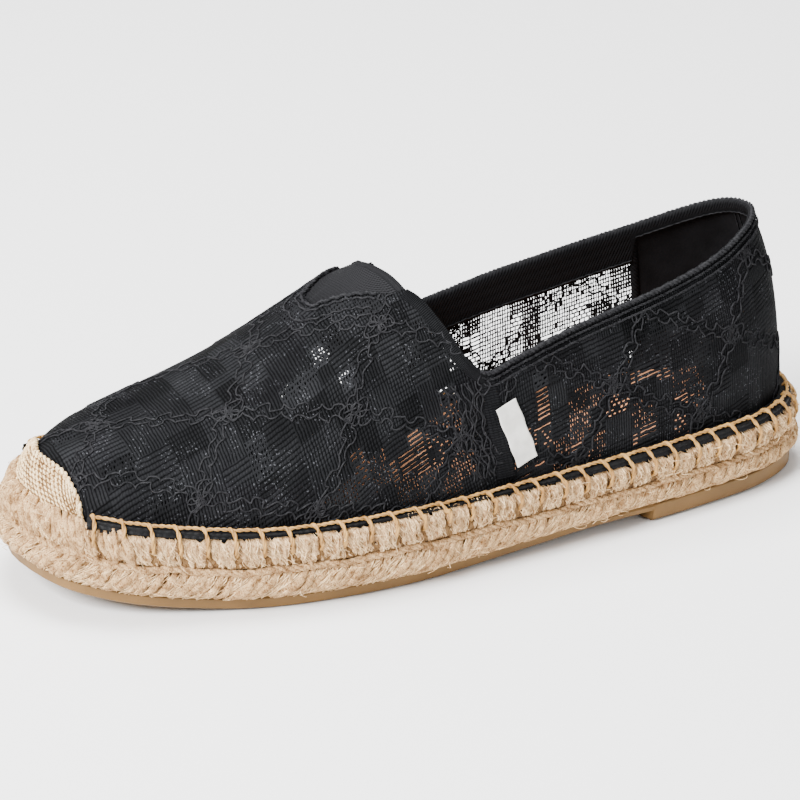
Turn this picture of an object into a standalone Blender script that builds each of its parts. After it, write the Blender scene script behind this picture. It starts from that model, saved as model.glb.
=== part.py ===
"""Left slip-on espadrille flat: a hollow lace upper on a two-course jute rope sole.

Lengths are millimetres here and become metres when a mesh is made.
Toe to -Y, heel to +Y, the outer side of the foot to +X, floor at z = 0.
A station is the distance from the back of the heel towards the toe on the 250 mm
sample size; the length grade stretches it to the size built.
"""
import math

import bmesh
import bpy
import numpy as np
from mathutils import Vector

METRE = 0.001

# ---- sizes of the shoe --------------------------------------------------
SOLE_LENGTH = 250.0
LENGTH_GRADE = 1.02
FIT_GAP = 0.3
WALL = 1.5
UPPER_INSET = 5.0
LIFT_LENGTH = 62.0
LIFT_HEIGHT = 3.0
HEEL_FLARE = 1.7
FLARE_START = 85.0
ROPE_LEAN = 4.6
FOOT_LEAN = 3.5
LEAN_START = 226.0
LEAN_END = 244.0
SPRING_START = 178.0
SPRING_HEIGHT = 10.3
INSOLE_THICKNESS = 3.0
SPAN_STEPS = 4
DENSE_STEPS = 24

# ends of the outline: station, side offset
HEEL_TIP = (0.0, -0.5)
TOE_TIP = (250.0, -5.0)

# outline of the jute sole: station, outer half width, inner half width
OUTLINE = [
    (5.5, 15.0, 15.5),
    (20.0, 25.5, 25.5),
    (45.0, 32.0, 30.5),
    (80.0, 37.5, 30.5),
    (115.0, 42.0, 31.5),
    (150.0, 45.5, 38.5),
    (180.0, 43.5, 44.0),
    (205.0, 37.5, 43.5),
    (228.0, 29.5, 36.5),
    (243.0, 17.5, 24.5),
]

# heights in the sole before toe spring:
# station, underside, top of rubber, split of the two courses, top of jute, stitch seam
LEVELS = [
    (0.0, 3.3, 6.0, 12.8, 19.6, 27.0),
    (62.0, 3.3, 6.0, 12.8, 19.6, 27.0),
    (105.0, 1.6, 5.1, 12.9, 20.8, 26.9),
    (142.0, 0.0, 4.1, 13.0, 21.9, 26.6),
    (178.0, 0.0, 4.1, 13.1, 22.0, 26.4),
    (250.0, 0.0, 4.1, 13.0, 21.6, 26.2),
]
UNDERSIDE, RUBBER, COURSE, JUTE, SEAM = range(5)

# the last's crest: station, height over the floor, side offset, roundness of the section
CREST = [
    (38.0, 97.0, -0.5, 2.45),
    (70.0, 95.5, -0.5, 2.40),
    (100.0, 93.0, -0.5, 2.35),
    (130.0, 86.6, -0.5, 2.32),
    (141.0, 83.7, -0.5, 2.30),
    (150.0, 80.5, -1.0, 2.25),
    (159.0, 74.8, -1.5, 2.20),
    (171.0, 66.8, -2.0, 2.15),
    (184.0, 59.5, -2.5, 2.10),
    (196.0, 54.0, -3.0, 2.10),
    (209.0, 49.1, -3.5, 2.10),
    (220.0, 45.8, -4.0, 2.05),
    (229.0, 43.2, -4.5, 2.00),
]
CREST_HEEL = 38.0
CREST_TOE = 229.0

# collar line: station, height over the floor
COLLAR = [
    (0.0, 82.2),
    (15.0, 81.7),
    (22.0, 79.6),
    (30.0, 76.6),
    (40.0, 73.4),
    (53.0, 70.4),
    (67.0, 67.9),
    (89.0, 63.9),
    (107.0, 59.4),
    (115.0, 57.4),
    (121.0, 62.0),
    (127.0, 72.8),
    (132.0, 80.0),
    (137.0, 82.3),
    (142.0, 83.2),
]
THROAT_STATION = 142.0
SIDE_SEAM_STATION = 114.0

# gore: half width and station at its open top and at its blunt point
GORE_TOP = (15.5, 138.0)
GORE_POINT = (3.6, 157.2)

# toe cap: station where its ends meet the seam, share of the toe it climbs, its thickness
CAP_STATION = 233.0
CAP_CLIMB = 0.50
CAP_RIM_THICKNESS = 1.4
CAP_BASE_THICKNESS = 1.9

# label: station and height of its top and of its lower end, width and thickness
LABEL_TOP = (111.0, 48.5)
LABEL_END = (104.3, 29.5)
LABEL_WIDTH = 7.0
LABEL_THICKNESS = 0.7


def clear_scene():
    for item in list(bpy.data.objects):
        bpy.data.objects.remove(item, do_unlink=True)


def smooth_rows(rows, station, column):
    """One column of a table of stations, read through a monotone cubic curve."""
    table = np.array(rows, float)
    xs = table[:, 0]
    ys = table[:, column]
    steps = np.diff(xs)
    rises = np.diff(ys) / steps
    slopes = np.zeros(len(xs))
    same_way = rises[1:] * rises[:-1] > 0
    mean = 2 * rises[1:] * rises[:-1] / np.where(same_way, rises[1:] + rises[:-1], 1.0)
    slopes[1:-1] = np.where(same_way, mean, 0.0)
    slopes[0] = rises[0]
    slopes[-1] = rises[-1]
    at = np.clip(np.asarray(station, float), xs[0], xs[-1])
    i = np.clip(np.searchsorted(xs, at, side="right") - 1, 0, len(xs) - 2)
    w = steps[i]
    t = (at - xs[i]) / w
    return ((1 + 2 * t) * (1 - t) ** 2 * ys[i] + t * (1 - t) ** 2 * w * slopes[i]
            + t * t * (3 - 2 * t) * ys[i + 1] + t * t * (t - 1) * w * slopes[i + 1])


def spring(station):
    """Rise of the toe over the floor."""
    over = np.clip((np.asarray(station, float) - SPRING_START)
                   / (SOLE_LENGTH - SPRING_START), 0.0, None)
    return SPRING_HEIGHT * over ** 2


def level(station, which, lift=0.0):
    return smooth_rows(LEVELS, station, which + 1) + spring(station) + lift


def rounded_loop(points, steps):
    """Closed centripetal curve through the points."""
    ring = [np.array(p, float) for p in points]
    count = len(ring)
    out = []
    for i in range(count):
        p0, p1, p2, p3 = (ring[(i + n - 1) % count] for n in range(4))
        t1 = math.sqrt(np.linalg.norm(p1 - p0))
        t2 = t1 + math.sqrt(np.linalg.norm(p2 - p1))
        t3 = t2 + math.sqrt(np.linalg.norm(p3 - p2))
        for t in np.linspace(t1, t2, steps, endpoint=False):
            a1 = (t1 - t) / t1 * p0 + t / t1 * p1
            a2 = (t2 - t) / (t2 - t1) * p1 + (t - t1) / (t2 - t1) * p2
            a3 = (t3 - t) / (t3 - t2) * p2 + (t - t2) / (t3 - t2) * p3
            b1 = (t2 - t) / t2 * a1 + t / t2 * a2
            b2 = (t3 - t) / (t3 - t1) * a2 + (t - t1) / (t3 - t1) * a3
            out.append((t2 - t) / (t2 - t1) * b1 + (t - t1) / (t2 - t1) * b2)
    return np.array(out)


def outline(inset, steps=SPAN_STEPS, flare=0.0, lean=0.0):
    """Sole outline moved inwards, as (station, side) pairs: heel, outer side, toe, inner side.

    A flare takes that much of the inset back round the heel; a lean adds to it at the toe.
    """
    points = [HEEL_TIP]
    points += [(row[0], row[1]) for row in OUTLINE]
    points += [TOE_TIP]
    points += [(row[0], -row[2]) for row in reversed(OUTLINE)]
    dense = rounded_loop(points, DENSE_STEPS)
    along = np.roll(dense, -1, 0) - np.roll(dense, 1, 0)
    along /= np.linalg.norm(along, axis=1)[:, None]
    outward = np.stack([-along[:, 1], along[:, 0]], 1)
    at_heel = np.clip((FLARE_START - dense[:, 0]) / (FLARE_START - LIFT_LENGTH), 0.0, 1.0)
    at_toe = np.clip((dense[:, 0] - LEAN_START) / (LEAN_END - LEAN_START), 0.0, 1.0)
    moved = dense - (inset - flare * at_heel + lean * at_toe)[:, None] * outward
    middle = (dense.max(0) + dense.min(0)) / 2
    moved[:, 1] -= middle[1]
    return moved[::DENSE_STEPS // steps]


def place(station, side, height):
    """A point of the shoe in the row's frame."""
    return (side, (SOLE_LENGTH / 2 - station) * LENGTH_GRADE, height)


def station_at(y):
    return SOLE_LENGTH / 2 - y / LENGTH_GRADE


def material(name, colour, roughness):
    made = bpy.data.materials.new(name)
    made.use_nodes = True
    shader = made.node_tree.nodes["Principled BSDF"]
    shader.inputs["Base Color"].default_value = (*colour, 1.0)
    shader.inputs["Roughness"].default_value = roughness
    shader.inputs["Metallic"].default_value = 0.0
    return made


def solid(name, points, faces, look, smooth=True):
    """A closed body from points in millimetres, its faces turned outwards."""
    mesh = bpy.data.meshes.new(name)
    mesh.from_pydata([tuple(c * METRE for c in p) for p in points], [], faces)
    work = bmesh.new()
    work.from_mesh(mesh)
    bmesh.ops.remove_doubles(work, verts=work.verts, dist=2e-6)
    bmesh.ops.dissolve_degenerate(work, edges=work.edges, dist=1e-6)
    bmesh.ops.recalc_face_normals(work, faces=work.faces)
    work.to_mesh(mesh)
    work.free()
    for face in mesh.polygons:
        face.use_smooth = smooth
    mesh.materials.append(look)
    made = bpy.data.objects.new(name, mesh)
    bpy.context.scene.collection.objects.link(made)
    return made


def stacked(name, profile, look, flare=0.0, leans=None):
    """A body of stacked outlines; a profile row is an inset and a height by station.

    The leans, one a row, set the rows back at the toe.
    """
    points = []
    faces = []
    for (inset, height), lean in zip(profile, leans or [0.0] * len(profile)):
        ring = outline(inset, SPAN_STEPS, flare, lean)
        zs = height(ring[:, 0])
        points += [place(s, x, z) for (s, x), z in zip(ring, zs)]
    count = len(outline(0.0))
    for row in range(len(profile) - 1):
        for j in range(count):
            k = (j + 1) % count
            low = row * count
            faces.append((low + j, low + k, low + count + k, low + count + j))
    half = count // 2
    for base in (0, (len(profile) - 1) * count):
        for j in range(half):
            a = base + j
            b = base + j + 1
            c = base + (count - j - 1) % count
            d = base + (count - j) % count
            corner = [a, b, c, d]
            faces.append(tuple(dict.fromkeys(corner)))
    return solid(name, points, faces, look)


# ---- the last: one surface for the upper and all that lies on it ----------
FEATHER = outline(UPPER_INSET, DENSE_STEPS, 0.0, FOOT_LEAN)
HALF = len(FEATHER) // 2
SIDES = {
    "outer": FEATHER[HALF::-1],
    "inner": np.concatenate([FEATHER[HALF:], FEATHER[:1]]),
}


def feather(side, u):
    """Foot of the upper at u, 0 at the toe and 1 at the heel: station and side."""
    row = SIDES[side]
    at = np.clip(u, 0, 1) * (len(row) - 1)
    i = min(int(at), len(row) - 2)
    return row[i] + (at - i) * (row[i + 1] - row[i])


def crest_station(u):
    mean = (feather("outer", u)[0] + feather("inner", u)[0]) / 2
    toe = SIDES["outer"][0][0]
    heel = SIDES["outer"][-1][0]
    return CREST_HEEL + (CREST_TOE - CREST_HEEL) * (mean - heel) / (toe - heel)


def last(side, u, k):
    """Station, side and height on the last; k is 0 at the foot and 1 on the crest."""
    s0, x0 = feather(side, u)
    s1 = crest_station(u)
    top = float(smooth_rows(CREST, s1, 1))
    x1 = float(smooth_rows(CREST, s1, 2))
    power = float(smooth_rows(CREST, s1, 3))
    foot = float(level(s0, JUTE, FIT_GAP))
    in_plan = math.cos(k * math.pi / 2) ** (2 / power) if k < 1 else 0.0
    climb = math.sin(k * math.pi / 2) ** (2 / power) if k > 0 else 0.0
    return np.array([s1 + (s0 - s1) * in_plan, x1 + (x0 - x1) * in_plan,
                     foot + (top - foot) * climb])


def last_frame(side, u, k):
    """Point, outward normal and upward direction on the last, in the row's frame."""
    e = 0.004
    p = Vector(place(*last(side, u, k)))
    up = Vector(place(*last(side, u, min(k + e, 1.0)))) - Vector(place(*last(side, u, max(k - e, 0.0))))
    along = Vector(place(*last(side, min(u + e, 1.0), k))) - Vector(place(*last(side, max(u - e, 0.0), k)))
    normal = along.cross(up).normalized()
    outwards = Vector((p.x, p.y - place(crest_station(u), 0, 0)[1], p.z - 30.0))
    if normal.dot(outwards) < 0:
        normal = -normal
    return p, normal, up.normalized()


def collar_share(side, u):
    """k where the last crosses the collar line."""
    low, high = 0.05, 0.995
    for _ in range(40):
        k = (low + high) / 2
        s, _x, z = last(side, u, k)
        if z < float(smooth_rows(COLLAR, s, 1)):
            low = k
        else:
            high = k
    return (low + high) / 2


def share_below(side, u, k, drop):
    """k that lies a length down the wall from k."""
    here = np.array(last(side, u, k))
    gone = 0.0
    while gone < drop and k > 0.01:
        k -= 0.004
        there = np.array(last(side, u, k))
        gone += float(np.linalg.norm(there - here))
        here = there
    return k


def throat_u():
    low, high = 0.0, 1.0
    for _ in range(40):
        u = (low + high) / 2
        if crest_station(u) > THROAT_STATION:
            low = u
        else:
            high = u
    return (low + high) / 2


def upper_shell(outer_drop, inner_drop):
    """Points and faces of the hollow upper between two depths under the last's surface."""
    turn = throat_u()
    fronts = list(np.linspace(0.0, turn, 25))
    backs = list(np.linspace(turn, 1.0, 25))[1:]
    wall_rows = 8
    top_rows = 6
    starts = {side: collar_share(side, turn) for side in SIDES}
    at_toe = sum(starts.values()) / 2
    points, faces = [], []
    for side in ("outer", "inner"):
        columns = []
        for u in fronts + backs:
            share = collar_share(side, u)
            if u <= turn:
                share = at_toe + (starts[side] - at_toe) * u / turn
            ks = [share * n / wall_rows for n in range(wall_rows + 1)]
            if u <= turn:
                ks += [share + (1 - share) * n / top_rows for n in range(1, top_rows + 1)]
            column = []
            for k in ks:
                column.append(len(points))
                points.append(place(*last(side, u, k)))
            columns.append(column)
        for left, right in zip(columns[:-1], columns[1:]):
            for n in range(min(len(left), len(right)) - 1):
                quad = (left[n], right[n], right[n + 1], left[n + 1])
                faces.append(quad if side == "outer" else quad[::-1])
    work = bmesh.new()
    corners = [work.verts.new(p) for p in points]
    for face in faces:
        work.faces.new([corners[i] for i in face])
    bmesh.ops.remove_doubles(work, verts=work.verts, dist=0.001)
    work.verts.index_update()
    work.normal_update()
    probe = max(work.faces, key=lambda f: f.calc_center_median().x)
    flip = -1.0 if probe.normal.x < 0 else 1.0
    outer, inner = [], []
    for vert in work.verts:
        normal = vert.normal * flip
        a = vert.co - normal * outer_drop
        b = vert.co - normal * inner_drop
        if vert.is_boundary:
            a.z, b.z = (vert.co.z, vert.co.z) if vert.co.z < 45 else (a.z, b.z)
        outer.append(tuple(a))
        inner.append(tuple(b))
    count = len(outer)
    shell = [tuple(v.index for v in f.verts) for f in work.faces]
    skin = list(shell)
    skin += [tuple(i + count for i in reversed(f)) for f in shell]
    for edge in work.edges:
        if edge.is_boundary:
            a, b = edge.verts[0].index, edge.verts[1].index
            skin.append((a, b, b + count, a + count))
    work.free()
    return outer + inner, skin


def wedge(name, spread):
    """Upright cutter in the shape of the gore, widened by spread."""
    (top_half, top_at), (point_half, point_at) = GORE_TOP, GORE_POINT
    lean = (top_half - point_half) / (point_at - top_at)
    widen = spread * math.hypot(1.0, lean)
    back = top_at - 14.0
    front = point_at + spread
    half_back = top_half + widen
    half_front = point_half - lean * spread + widen
    middle = float(smooth_rows(CREST, 148.0, 2))
    plan = [(back, middle - half_back), (back, middle + half_back), (top_at, middle + half_back),
            (front, middle + half_front), (front, middle - half_front), (top_at, middle - half_back)]
    points = [place(s, x, 61.3) for s, x in plan]
    points += [place(s, x, 98.7) for s, x in plan]
    faces = [tuple(range(6)), tuple(range(11, 5, -1))]
    faces += [(i, i + 6, (i + 1) % 6 + 6, (i + 1) % 6) for i in range(6)]
    made = solid(name, points, faces, CUTTER_LOOK, smooth=False)
    made.hide_render = True
    made.display_type = "WIRE"
    return made


def cut(target, cutter, operation):
    step = target.modifiers.new(operation.title(), "BOOLEAN")
    step.operation = operation
    step.solver = "EXACT"
    step.object = cutter


def swept(name, sections, look):
    """A body from equal closed sections, its two ends filled."""
    count = len(sections[0])
    points = [p for section in sections for p in section]
    faces = []
    for row in range(len(sections) - 1):
        for j in range(count):
            k = (j + 1) % count
            low = row * count
            faces.append((low + j, low + k, low + count + k, low + count + j))
    return points, faces, count


# ---- build ----------------------------------------------------------------
clear_scene()
CUTTER_LOOK = material("cutter_look", (0.5, 0.5, 0.5), 0.5)
GUM = material("gum_rubber", (0.46, 0.31, 0.15), 0.55)
ROPE = material("jute_rope", (0.72, 0.56, 0.38), 0.9)
CAP = material("jute_cap", (0.78, 0.62, 0.42), 0.9)
FOOTBED = material("insole_suede", (0.50, 0.25, 0.14), 0.85)
LACE = material("lace_black", (0.020, 0.020, 0.023), 0.8)
ELASTIC = material("elastic_black", (0.030, 0.030, 0.033), 0.85)
TAPE = material("tape_black", (0.016, 0.016, 0.018), 0.8)
LABEL = material("label_white", (0.75, 0.73, 0.69), 0.7)


# the rubber sheet and the lift under its heel
def build_rubber():
    stacked("outsole", [
        (4.0, lambda s: level(s, UNDERSIDE)),
        (3.0, lambda s: level(s, UNDERSIDE, 0.7)),
        (2.7, lambda s: level(s, RUBBER, -0.7)),
        (3.3, lambda s: level(s, RUBBER)),
    ], GUM, HEEL_FLARE)
    lift = stacked("heel_lift", [
        (4.2, lambda s: 0.0 * s),
        (3.3, lambda s: 0.0 * s + 0.7),
        (3.1, lambda s: 0.0 * s + LIFT_HEIGHT),
    ], GUM, HEEL_FLARE)
    work = bmesh.new()
    work.from_mesh(lift.data)
    parts = work.verts[:] + work.edges[:] + work.faces[:]
    breast = Vector(place(LIFT_LENGTH, 0, 0)) * METRE
    made = bmesh.ops.bisect_plane(work, geom=parts, dist=1e-7, plane_co=breast,
                                  plane_no=(0, -1, 0), clear_outer=True)
    rim = [item for item in made["geom_cut"] if isinstance(item, bmesh.types.BMEdge)]
    bmesh.ops.contextual_create(work, geom=rim)
    bmesh.ops.recalc_face_normals(work, faces=work.faces)
    work.to_mesh(lift.data)
    work.free()
    lift.data.polygons[len(lift.data.polygons) - 1].use_smooth = False


# two courses of jute rope, each bulging at its side
def build_jute():
    for name, low, high, start, bulge in (
            ("jute_sole_lower", (RUBBER, FIT_GAP), (COURSE, -FIT_GAP / 2), 0.0,
             [(3.0, 0.0), (1.2, 0.1), (0.3, 0.28), (0.0, 0.5),
              (0.3, 0.75), (1.1, 0.92), (2.2, 1.0)]),
            ("jute_sole_upper", (COURSE, FIT_GAP / 2), (JUTE, 0.0), 0.5,
             [(2.2, 0.0), (1.0, 0.1), (0.3, 0.3), (0.2, 0.55),
              (0.7, 0.8), (1.5, 0.94), (2.4, 1.0)])):
        profile = []
        for inset, share in bulge:
            def height(s, share=share, low=low, high=high):
                a = level(s, *low)
                b = level(s, *high)
                return a + (b - a) * share
            profile.append((inset, height))
        leans = [ROPE_LEAN * max(start + 0.5 * share - 0.25, 0.0) / 0.75 for _, share in bulge]
        stacked(name, profile, ROPE, 0.0, leans)


def build_insole():
    inner = UPPER_INSET + WALL + FIT_GAP + 0.2
    stacked("insole", [
        (inner + 0.5, lambda s: level(s, JUTE, FIT_GAP)),
        (inner, lambda s: level(s, JUTE, FIT_GAP + 0.6)),
        (inner, lambda s: level(s, JUTE, FIT_GAP + INSOLE_THICKNESS - 0.8)),
        (inner + 0.9, lambda s: level(s, JUTE, FIT_GAP + INSOLE_THICKNESS)),
    ], FOOTBED, 0.0, [FOOT_LEAN] * 4)


# black band stitched round the foot of the upper, open at the toe cap
def build_rand():
    section = [
        (UPPER_INSET - FIT_GAP, JUTE, FIT_GAP),
        (1.9, JUTE, FIT_GAP),
        (1.3, JUTE, 1.2),
        (1.9, SEAM, -1.6),
        (3.0, SEAM, -0.3),
        (UPPER_INSET - FIT_GAP, SEAM, 0.0),
    ]
    rings = []
    for inset, which, lift in section:
        ring = outline(inset, DENSE_STEPS)
        zs = level(ring[:, 0], which, lift)
        rings.append([place(s, x, z) for (s, x), z in zip(ring, zs)])
    path = outline(UPPER_INSET, DENSE_STEPS)
    keep = [i for i in range(len(path)) if path[i][0] < CAP_STATION - 1.2]
    front = [i for i in keep if i < HALF]
    back = [i for i in keep if i > HALF]
    order = back[::6] + front[::6]
    if order[-1] != front[-1]:
        order.append(front[-1])
    sections = [[ring[i] for ring in rings] for i in order]
    points, faces, count = swept("rand", sections, TAPE)
    faces.append(tuple(range(count)))
    faces.append(tuple(len(points) - count + i for i in range(count)))
    solid("rand", points, faces, TAPE)


def build_upper():
    points, faces = upper_shell(0.0, WALL)
    upper = solid("upper", points, faces, LACE)
    cut(upper, wedge("gore_notch", FIT_GAP), "DIFFERENCE")


def find_in_plan(station, side_offset):
    """Side, u and k of the last's point straight above a plan position."""
    side = "outer" if side_offset > float(smooth_rows(CREST, station, 2)) else "inner"
    low, high = 0.0, 1.0
    for _ in range(36):
        u = (low + high) / 2
        s0, x0 = feather(side, u)
        s1 = crest_station(u)
        x1 = float(smooth_rows(CREST, s1, 2))
        share = min(max((side_offset - x1) / (x0 - x1), 0.0), 1.0)
        if s1 + (s0 - s1) * share > station:
            low = u
        else:
            high = u
    power = float(smooth_rows(CREST, s1, 3))
    return side, u, math.acos(min(share ** (power / 2), 1.0)) * 2 / math.pi


# elastic wedge let into the throat, a little below the lace
def build_gore():
    turn = throat_u()
    middle = float(smooth_rows(CREST, 148.0, 2))
    (top_half, top_at), (point_half, point_at) = GORE_TOP, GORE_POINT
    lean = (top_half - point_half) / (point_at - top_at)
    across, down = 10, 8
    over, under = [], []
    for row in range(down + 1):
        for column in range(across + 1):
            way = 2.0 * column / across - 1.0
            edge = top_at
            for _ in range(12):
                x = middle + way * min(top_half, point_half + lean * (point_at - edge))
                side = "outer" if x > middle else "inner"
                s0, x0 = feather(side, turn)
                edge = THROAT_STATION + (s0 - THROAT_STATION) * (x - middle) / (x0 - middle)
            station = edge + (point_at - edge) * row / down
            x = middle + way * min(top_half, point_half + lean * (point_at - station))
            p, normal, _ = last_frame(*find_in_plan(station, x))
            over.append(tuple(p - normal * 0.35))
            under.append(tuple(p - normal * (WALL - 0.1)))
    points = over + under
    base = len(over)
    wide = across + 1
    faces = []
    for row in range(down):
        for column in range(across):
            a = row * wide + column
            quad = (a, a + 1, a + 1 + wide, a + wide)
            faces.append(quad)
            faces.append(tuple(base + i for i in reversed(quad)))
    for column in range(across):
        for a in (column, down * wide + column):
            faces.append((a, a + 1, base + a + 1, base + a))
    for row in range(down):
        for a in (row * wide, row * wide + across):
            faces.append((a, a + wide, base + a + wide, base + a))
    solid("elastic_gore", points, faces, ELASTIC)


# folded tape over the collar edge, from one side seam round the heel to the other
def build_binding():
    turn = throat_u()
    sweep = []
    for side in ("outer", "inner"):
        run = []
        for u in np.linspace(turn, 1.0, 31):
            k = collar_share(side, u)
            if last(side, u, k)[0] < SIDE_SEAM_STATION:
                run.append((side, u, k))
        sweep += run if side == "outer" else run[-2::-1]
    inner_face = WALL + FIT_GAP
    sections = []
    for side, u, k in sweep:
        p, n, up = last_frame(side, u, k)
        mid, n_mid, _ = last_frame(side, u, share_below(side, u, k, 4.5))
        low, n_low, _ = last_frame(side, u, share_below(side, u, k, 9.0))
        bead = [(inner_face, 0.3), (-0.45, 0.3), (-0.45, 1.3), (0.2, 2.0),
                (inner_face + 0.2, 2.0), (inner_face + 0.9, 1.2)]
        section = [low - n_low * inner_face, mid - n_mid * inner_face]
        section += [p - n * depth + up * rise for depth, rise in bead]
        section += [mid - n_mid * (inner_face + 0.9), low - n_low * (inner_face + 0.9)]
        sections.append([tuple(q) for q in section])
    points, faces, count = swept("collar_binding", sections, TAPE)
    faces.append(tuple(range(count)))
    faces.append(tuple(len(points) - count + i for i in range(count)))
    solid("collar_binding", points, faces, TAPE)


# jute cap over the toe, thicker at its foot, its rim climbing over the toe
def build_cap():
    ends = {}
    for side in ("outer", "inner"):
        row = SIDES[side]
        i = next(n for n in range(len(row)) if row[n][0] < CAP_STATION)
        ends[side] = i / (len(row) - 1)
    rows = 8
    columns = []
    for side, shares in (("inner", np.linspace(1.0, 0.0, 17)), ("outer", np.linspace(0.0, 1.0, 17)[1:])):
        for share in shares:
            u = ends[side] * share
            reach = CAP_CLIMB * math.sqrt(max(1.0 - share ** 2.2, 0.0)) + 0.04
            column = []
            for n in range(rows + 1):
                k = reach * n / rows
                p, normal, _ = last_frame(side, u, k)
                side_way = Vector((normal.x, normal.y, 0.0))
                lie = FIT_GAP + 0.2
                fade = (n / rows) ** 0.8
                thick = CAP_BASE_THICKNESS + (CAP_RIM_THICKNESS - CAP_BASE_THICKNESS) * fade
                if n == 0:
                    normal = side_way.normalized()
                thick *= 0.45 + 0.55 * min(1.0, 4.0 * (1.0 - abs(share)) + 0.35)
                pair = [p + normal * lie, p + normal * (lie + thick)]
                for point in pair if n == 0 else []:
                    point.z = float(level(station_at(point.y), JUTE, FIT_GAP + 0.2))
                column.append(pair)
            columns.append(column)
    points, faces = [], []
    for column in columns:
        points += [tuple(pair[0]) for pair in column]
    base = len(points)
    for column in columns:
        points += [tuple(pair[1]) for pair in column]
    wide = rows + 1
    for c in range(len(columns) - 1):
        for r in range(rows):
            a = c * wide + r
            quad = (a, a + wide, a + wide + 1, a + 1)
            faces.append(quad)
            faces.append(tuple(base + i for i in reversed(quad)))
        for r in (0, rows):
            a = c * wide + r
            faces.append((a, a + wide, base + a + wide, base + a))
    for c in (0, len(columns) - 1):
        for r in range(rows):
            a = c * wide + r
            faces.append((a, a + 1, base + a + 1, base + a))
    solid("toe_cap", points, faces, CAP)


def find_on_side(side, station, height):
    """u and k of the wall point at a station and a height."""
    low_u, high_u = 0.05, 0.98
    k = 0.3
    for _ in range(40):
        u = (low_u + high_u) / 2
        low_k, high_k = 0.0, 0.98
        for _ in range(30):
            k = (low_k + high_k) / 2
            if last(side, u, k)[2] < height:
                low_k = k
            else:
                high_k = k
        if last(side, u, k)[0] > station:
            low_u = u
        else:
            high_u = u
    return u, k


# small woven tape sewn flat behind the outer side seam, left plain
def build_label():
    rows = 6
    across = np.array([LABEL_TOP[1] - LABEL_END[1], -(LABEL_TOP[0] - LABEL_END[0])])
    across = across / np.linalg.norm(across) * LABEL_WIDTH / 2
    under, over = [], []
    for n in range(rows + 1):
        t = n / rows
        middle = np.array(LABEL_TOP) * (1 - t) + np.array(LABEL_END) * t
        for way in (-1.0, 0.0, 1.0):
            s, z = middle + across * way
            u, k = find_on_side("outer", s, z)
            p, normal, _ = last_frame("outer", u, k)
            under.append(tuple(p + normal * FIT_GAP))
            over.append(tuple(p + normal * (FIT_GAP + LABEL_THICKNESS)))
    points = under + over
    base = len(under)
    faces = []
    for n in range(rows):
        for c in range(2):
            a = n * 3 + c
            quad = (a, a + 1, a + 4, a + 3)
            faces.append(quad)
            faces.append(tuple(base + i for i in reversed(quad)))
        for c in (0, 2):
            a = n * 3 + c
            faces.append((a, a + 3, base + a + 3, base + a))
    for n in (0, rows):
        for c in range(2):
            a = n * 3 + c
            faces.append((a, a + 1, base + a + 1, base + a))
    solid("side_label", points, faces, LABEL)


build_rubber()
build_jute()
build_insole()
build_rand()
build_upper()
build_gore()
build_binding()
build_cap()
build_label()
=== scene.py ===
import math

import bmesh
import bpy
import numpy as np
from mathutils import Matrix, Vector


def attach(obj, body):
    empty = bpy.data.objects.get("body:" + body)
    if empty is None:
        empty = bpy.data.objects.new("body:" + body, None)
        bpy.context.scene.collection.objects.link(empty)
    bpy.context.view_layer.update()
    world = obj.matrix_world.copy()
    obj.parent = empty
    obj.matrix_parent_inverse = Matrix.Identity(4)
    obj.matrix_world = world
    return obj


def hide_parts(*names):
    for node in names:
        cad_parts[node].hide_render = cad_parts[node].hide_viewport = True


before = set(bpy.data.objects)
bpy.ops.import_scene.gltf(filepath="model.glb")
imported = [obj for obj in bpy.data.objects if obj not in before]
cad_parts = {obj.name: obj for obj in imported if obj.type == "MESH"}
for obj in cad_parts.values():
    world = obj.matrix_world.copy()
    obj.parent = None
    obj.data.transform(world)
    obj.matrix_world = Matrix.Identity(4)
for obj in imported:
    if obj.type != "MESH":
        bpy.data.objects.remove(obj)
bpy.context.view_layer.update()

# ---------------------------------------------------------------------------
# Studio. A pale floor that runs up to a white room, a large soft light high on the
# toe side, one overhead, a weak one behind the heel, and a long lens.
MM = 0.001
SUBJECT = Vector((0.0, 0.0, 0.040))
FLOOR_REACH = 6.0
CAMERA_TURN, CAMERA_RISE, CAMERA_DISTANCE = 66.0, 24.3, 1.20
LENS, FILM_WIDTH, LENS_SHIFT = 182.0, 36.0, (-0.015, -0.0063)
ROOM_LIGHT = 0.52


def placed(name, data):
    """A new object with this data, in the scene."""
    thing = bpy.data.objects.new(name, data)
    bpy.context.scene.collection.objects.link(thing)
    return thing


def aim(thing, direction):
    thing.rotation_mode = "QUATERNION"
    thing.rotation_quaternion = direction.to_track_quat("-Z", "Y")


turn, rise = math.radians(CAMERA_TURN), math.radians(CAMERA_RISE)
toward_camera = Vector((math.sin(turn) * math.cos(rise), -math.cos(turn) * math.cos(rise),
                        math.sin(rise)))
camera_data = bpy.data.cameras.new("camera")
camera_data.sensor_width = FILM_WIDTH
camera_data.lens = LENS
camera_data.shift_x, camera_data.shift_y = LENS_SHIFT
camera_data.clip_start = 0.05
camera = placed("camera", camera_data)
camera.location = SUBJECT + toward_camera * CAMERA_DISTANCE
aim(camera, -toward_camera)
bpy.context.scene.camera = camera

floor_mesh = bpy.data.meshes.new("floor")
floor_work = bmesh.new()
bmesh.ops.create_grid(floor_work, x_segments=1, y_segments=1, size=FLOOR_REACH)
floor_work.to_mesh(floor_mesh)
floor_work.free()
floor = placed("floor", floor_mesh)
floor_look = bpy.data.materials.new("pale_floor")
floor_look.use_nodes = True
floor_shader = floor_look.node_tree.nodes["Principled BSDF"]
floor_shader.inputs["Base Color"].default_value = (0.90, 0.90, 0.90, 1.0)
floor_shader.inputs["Roughness"].default_value = 0.85
floor_shader.inputs["Specular IOR Level"].default_value = 0.1
floor_mesh.materials.append(floor_look)

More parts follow.
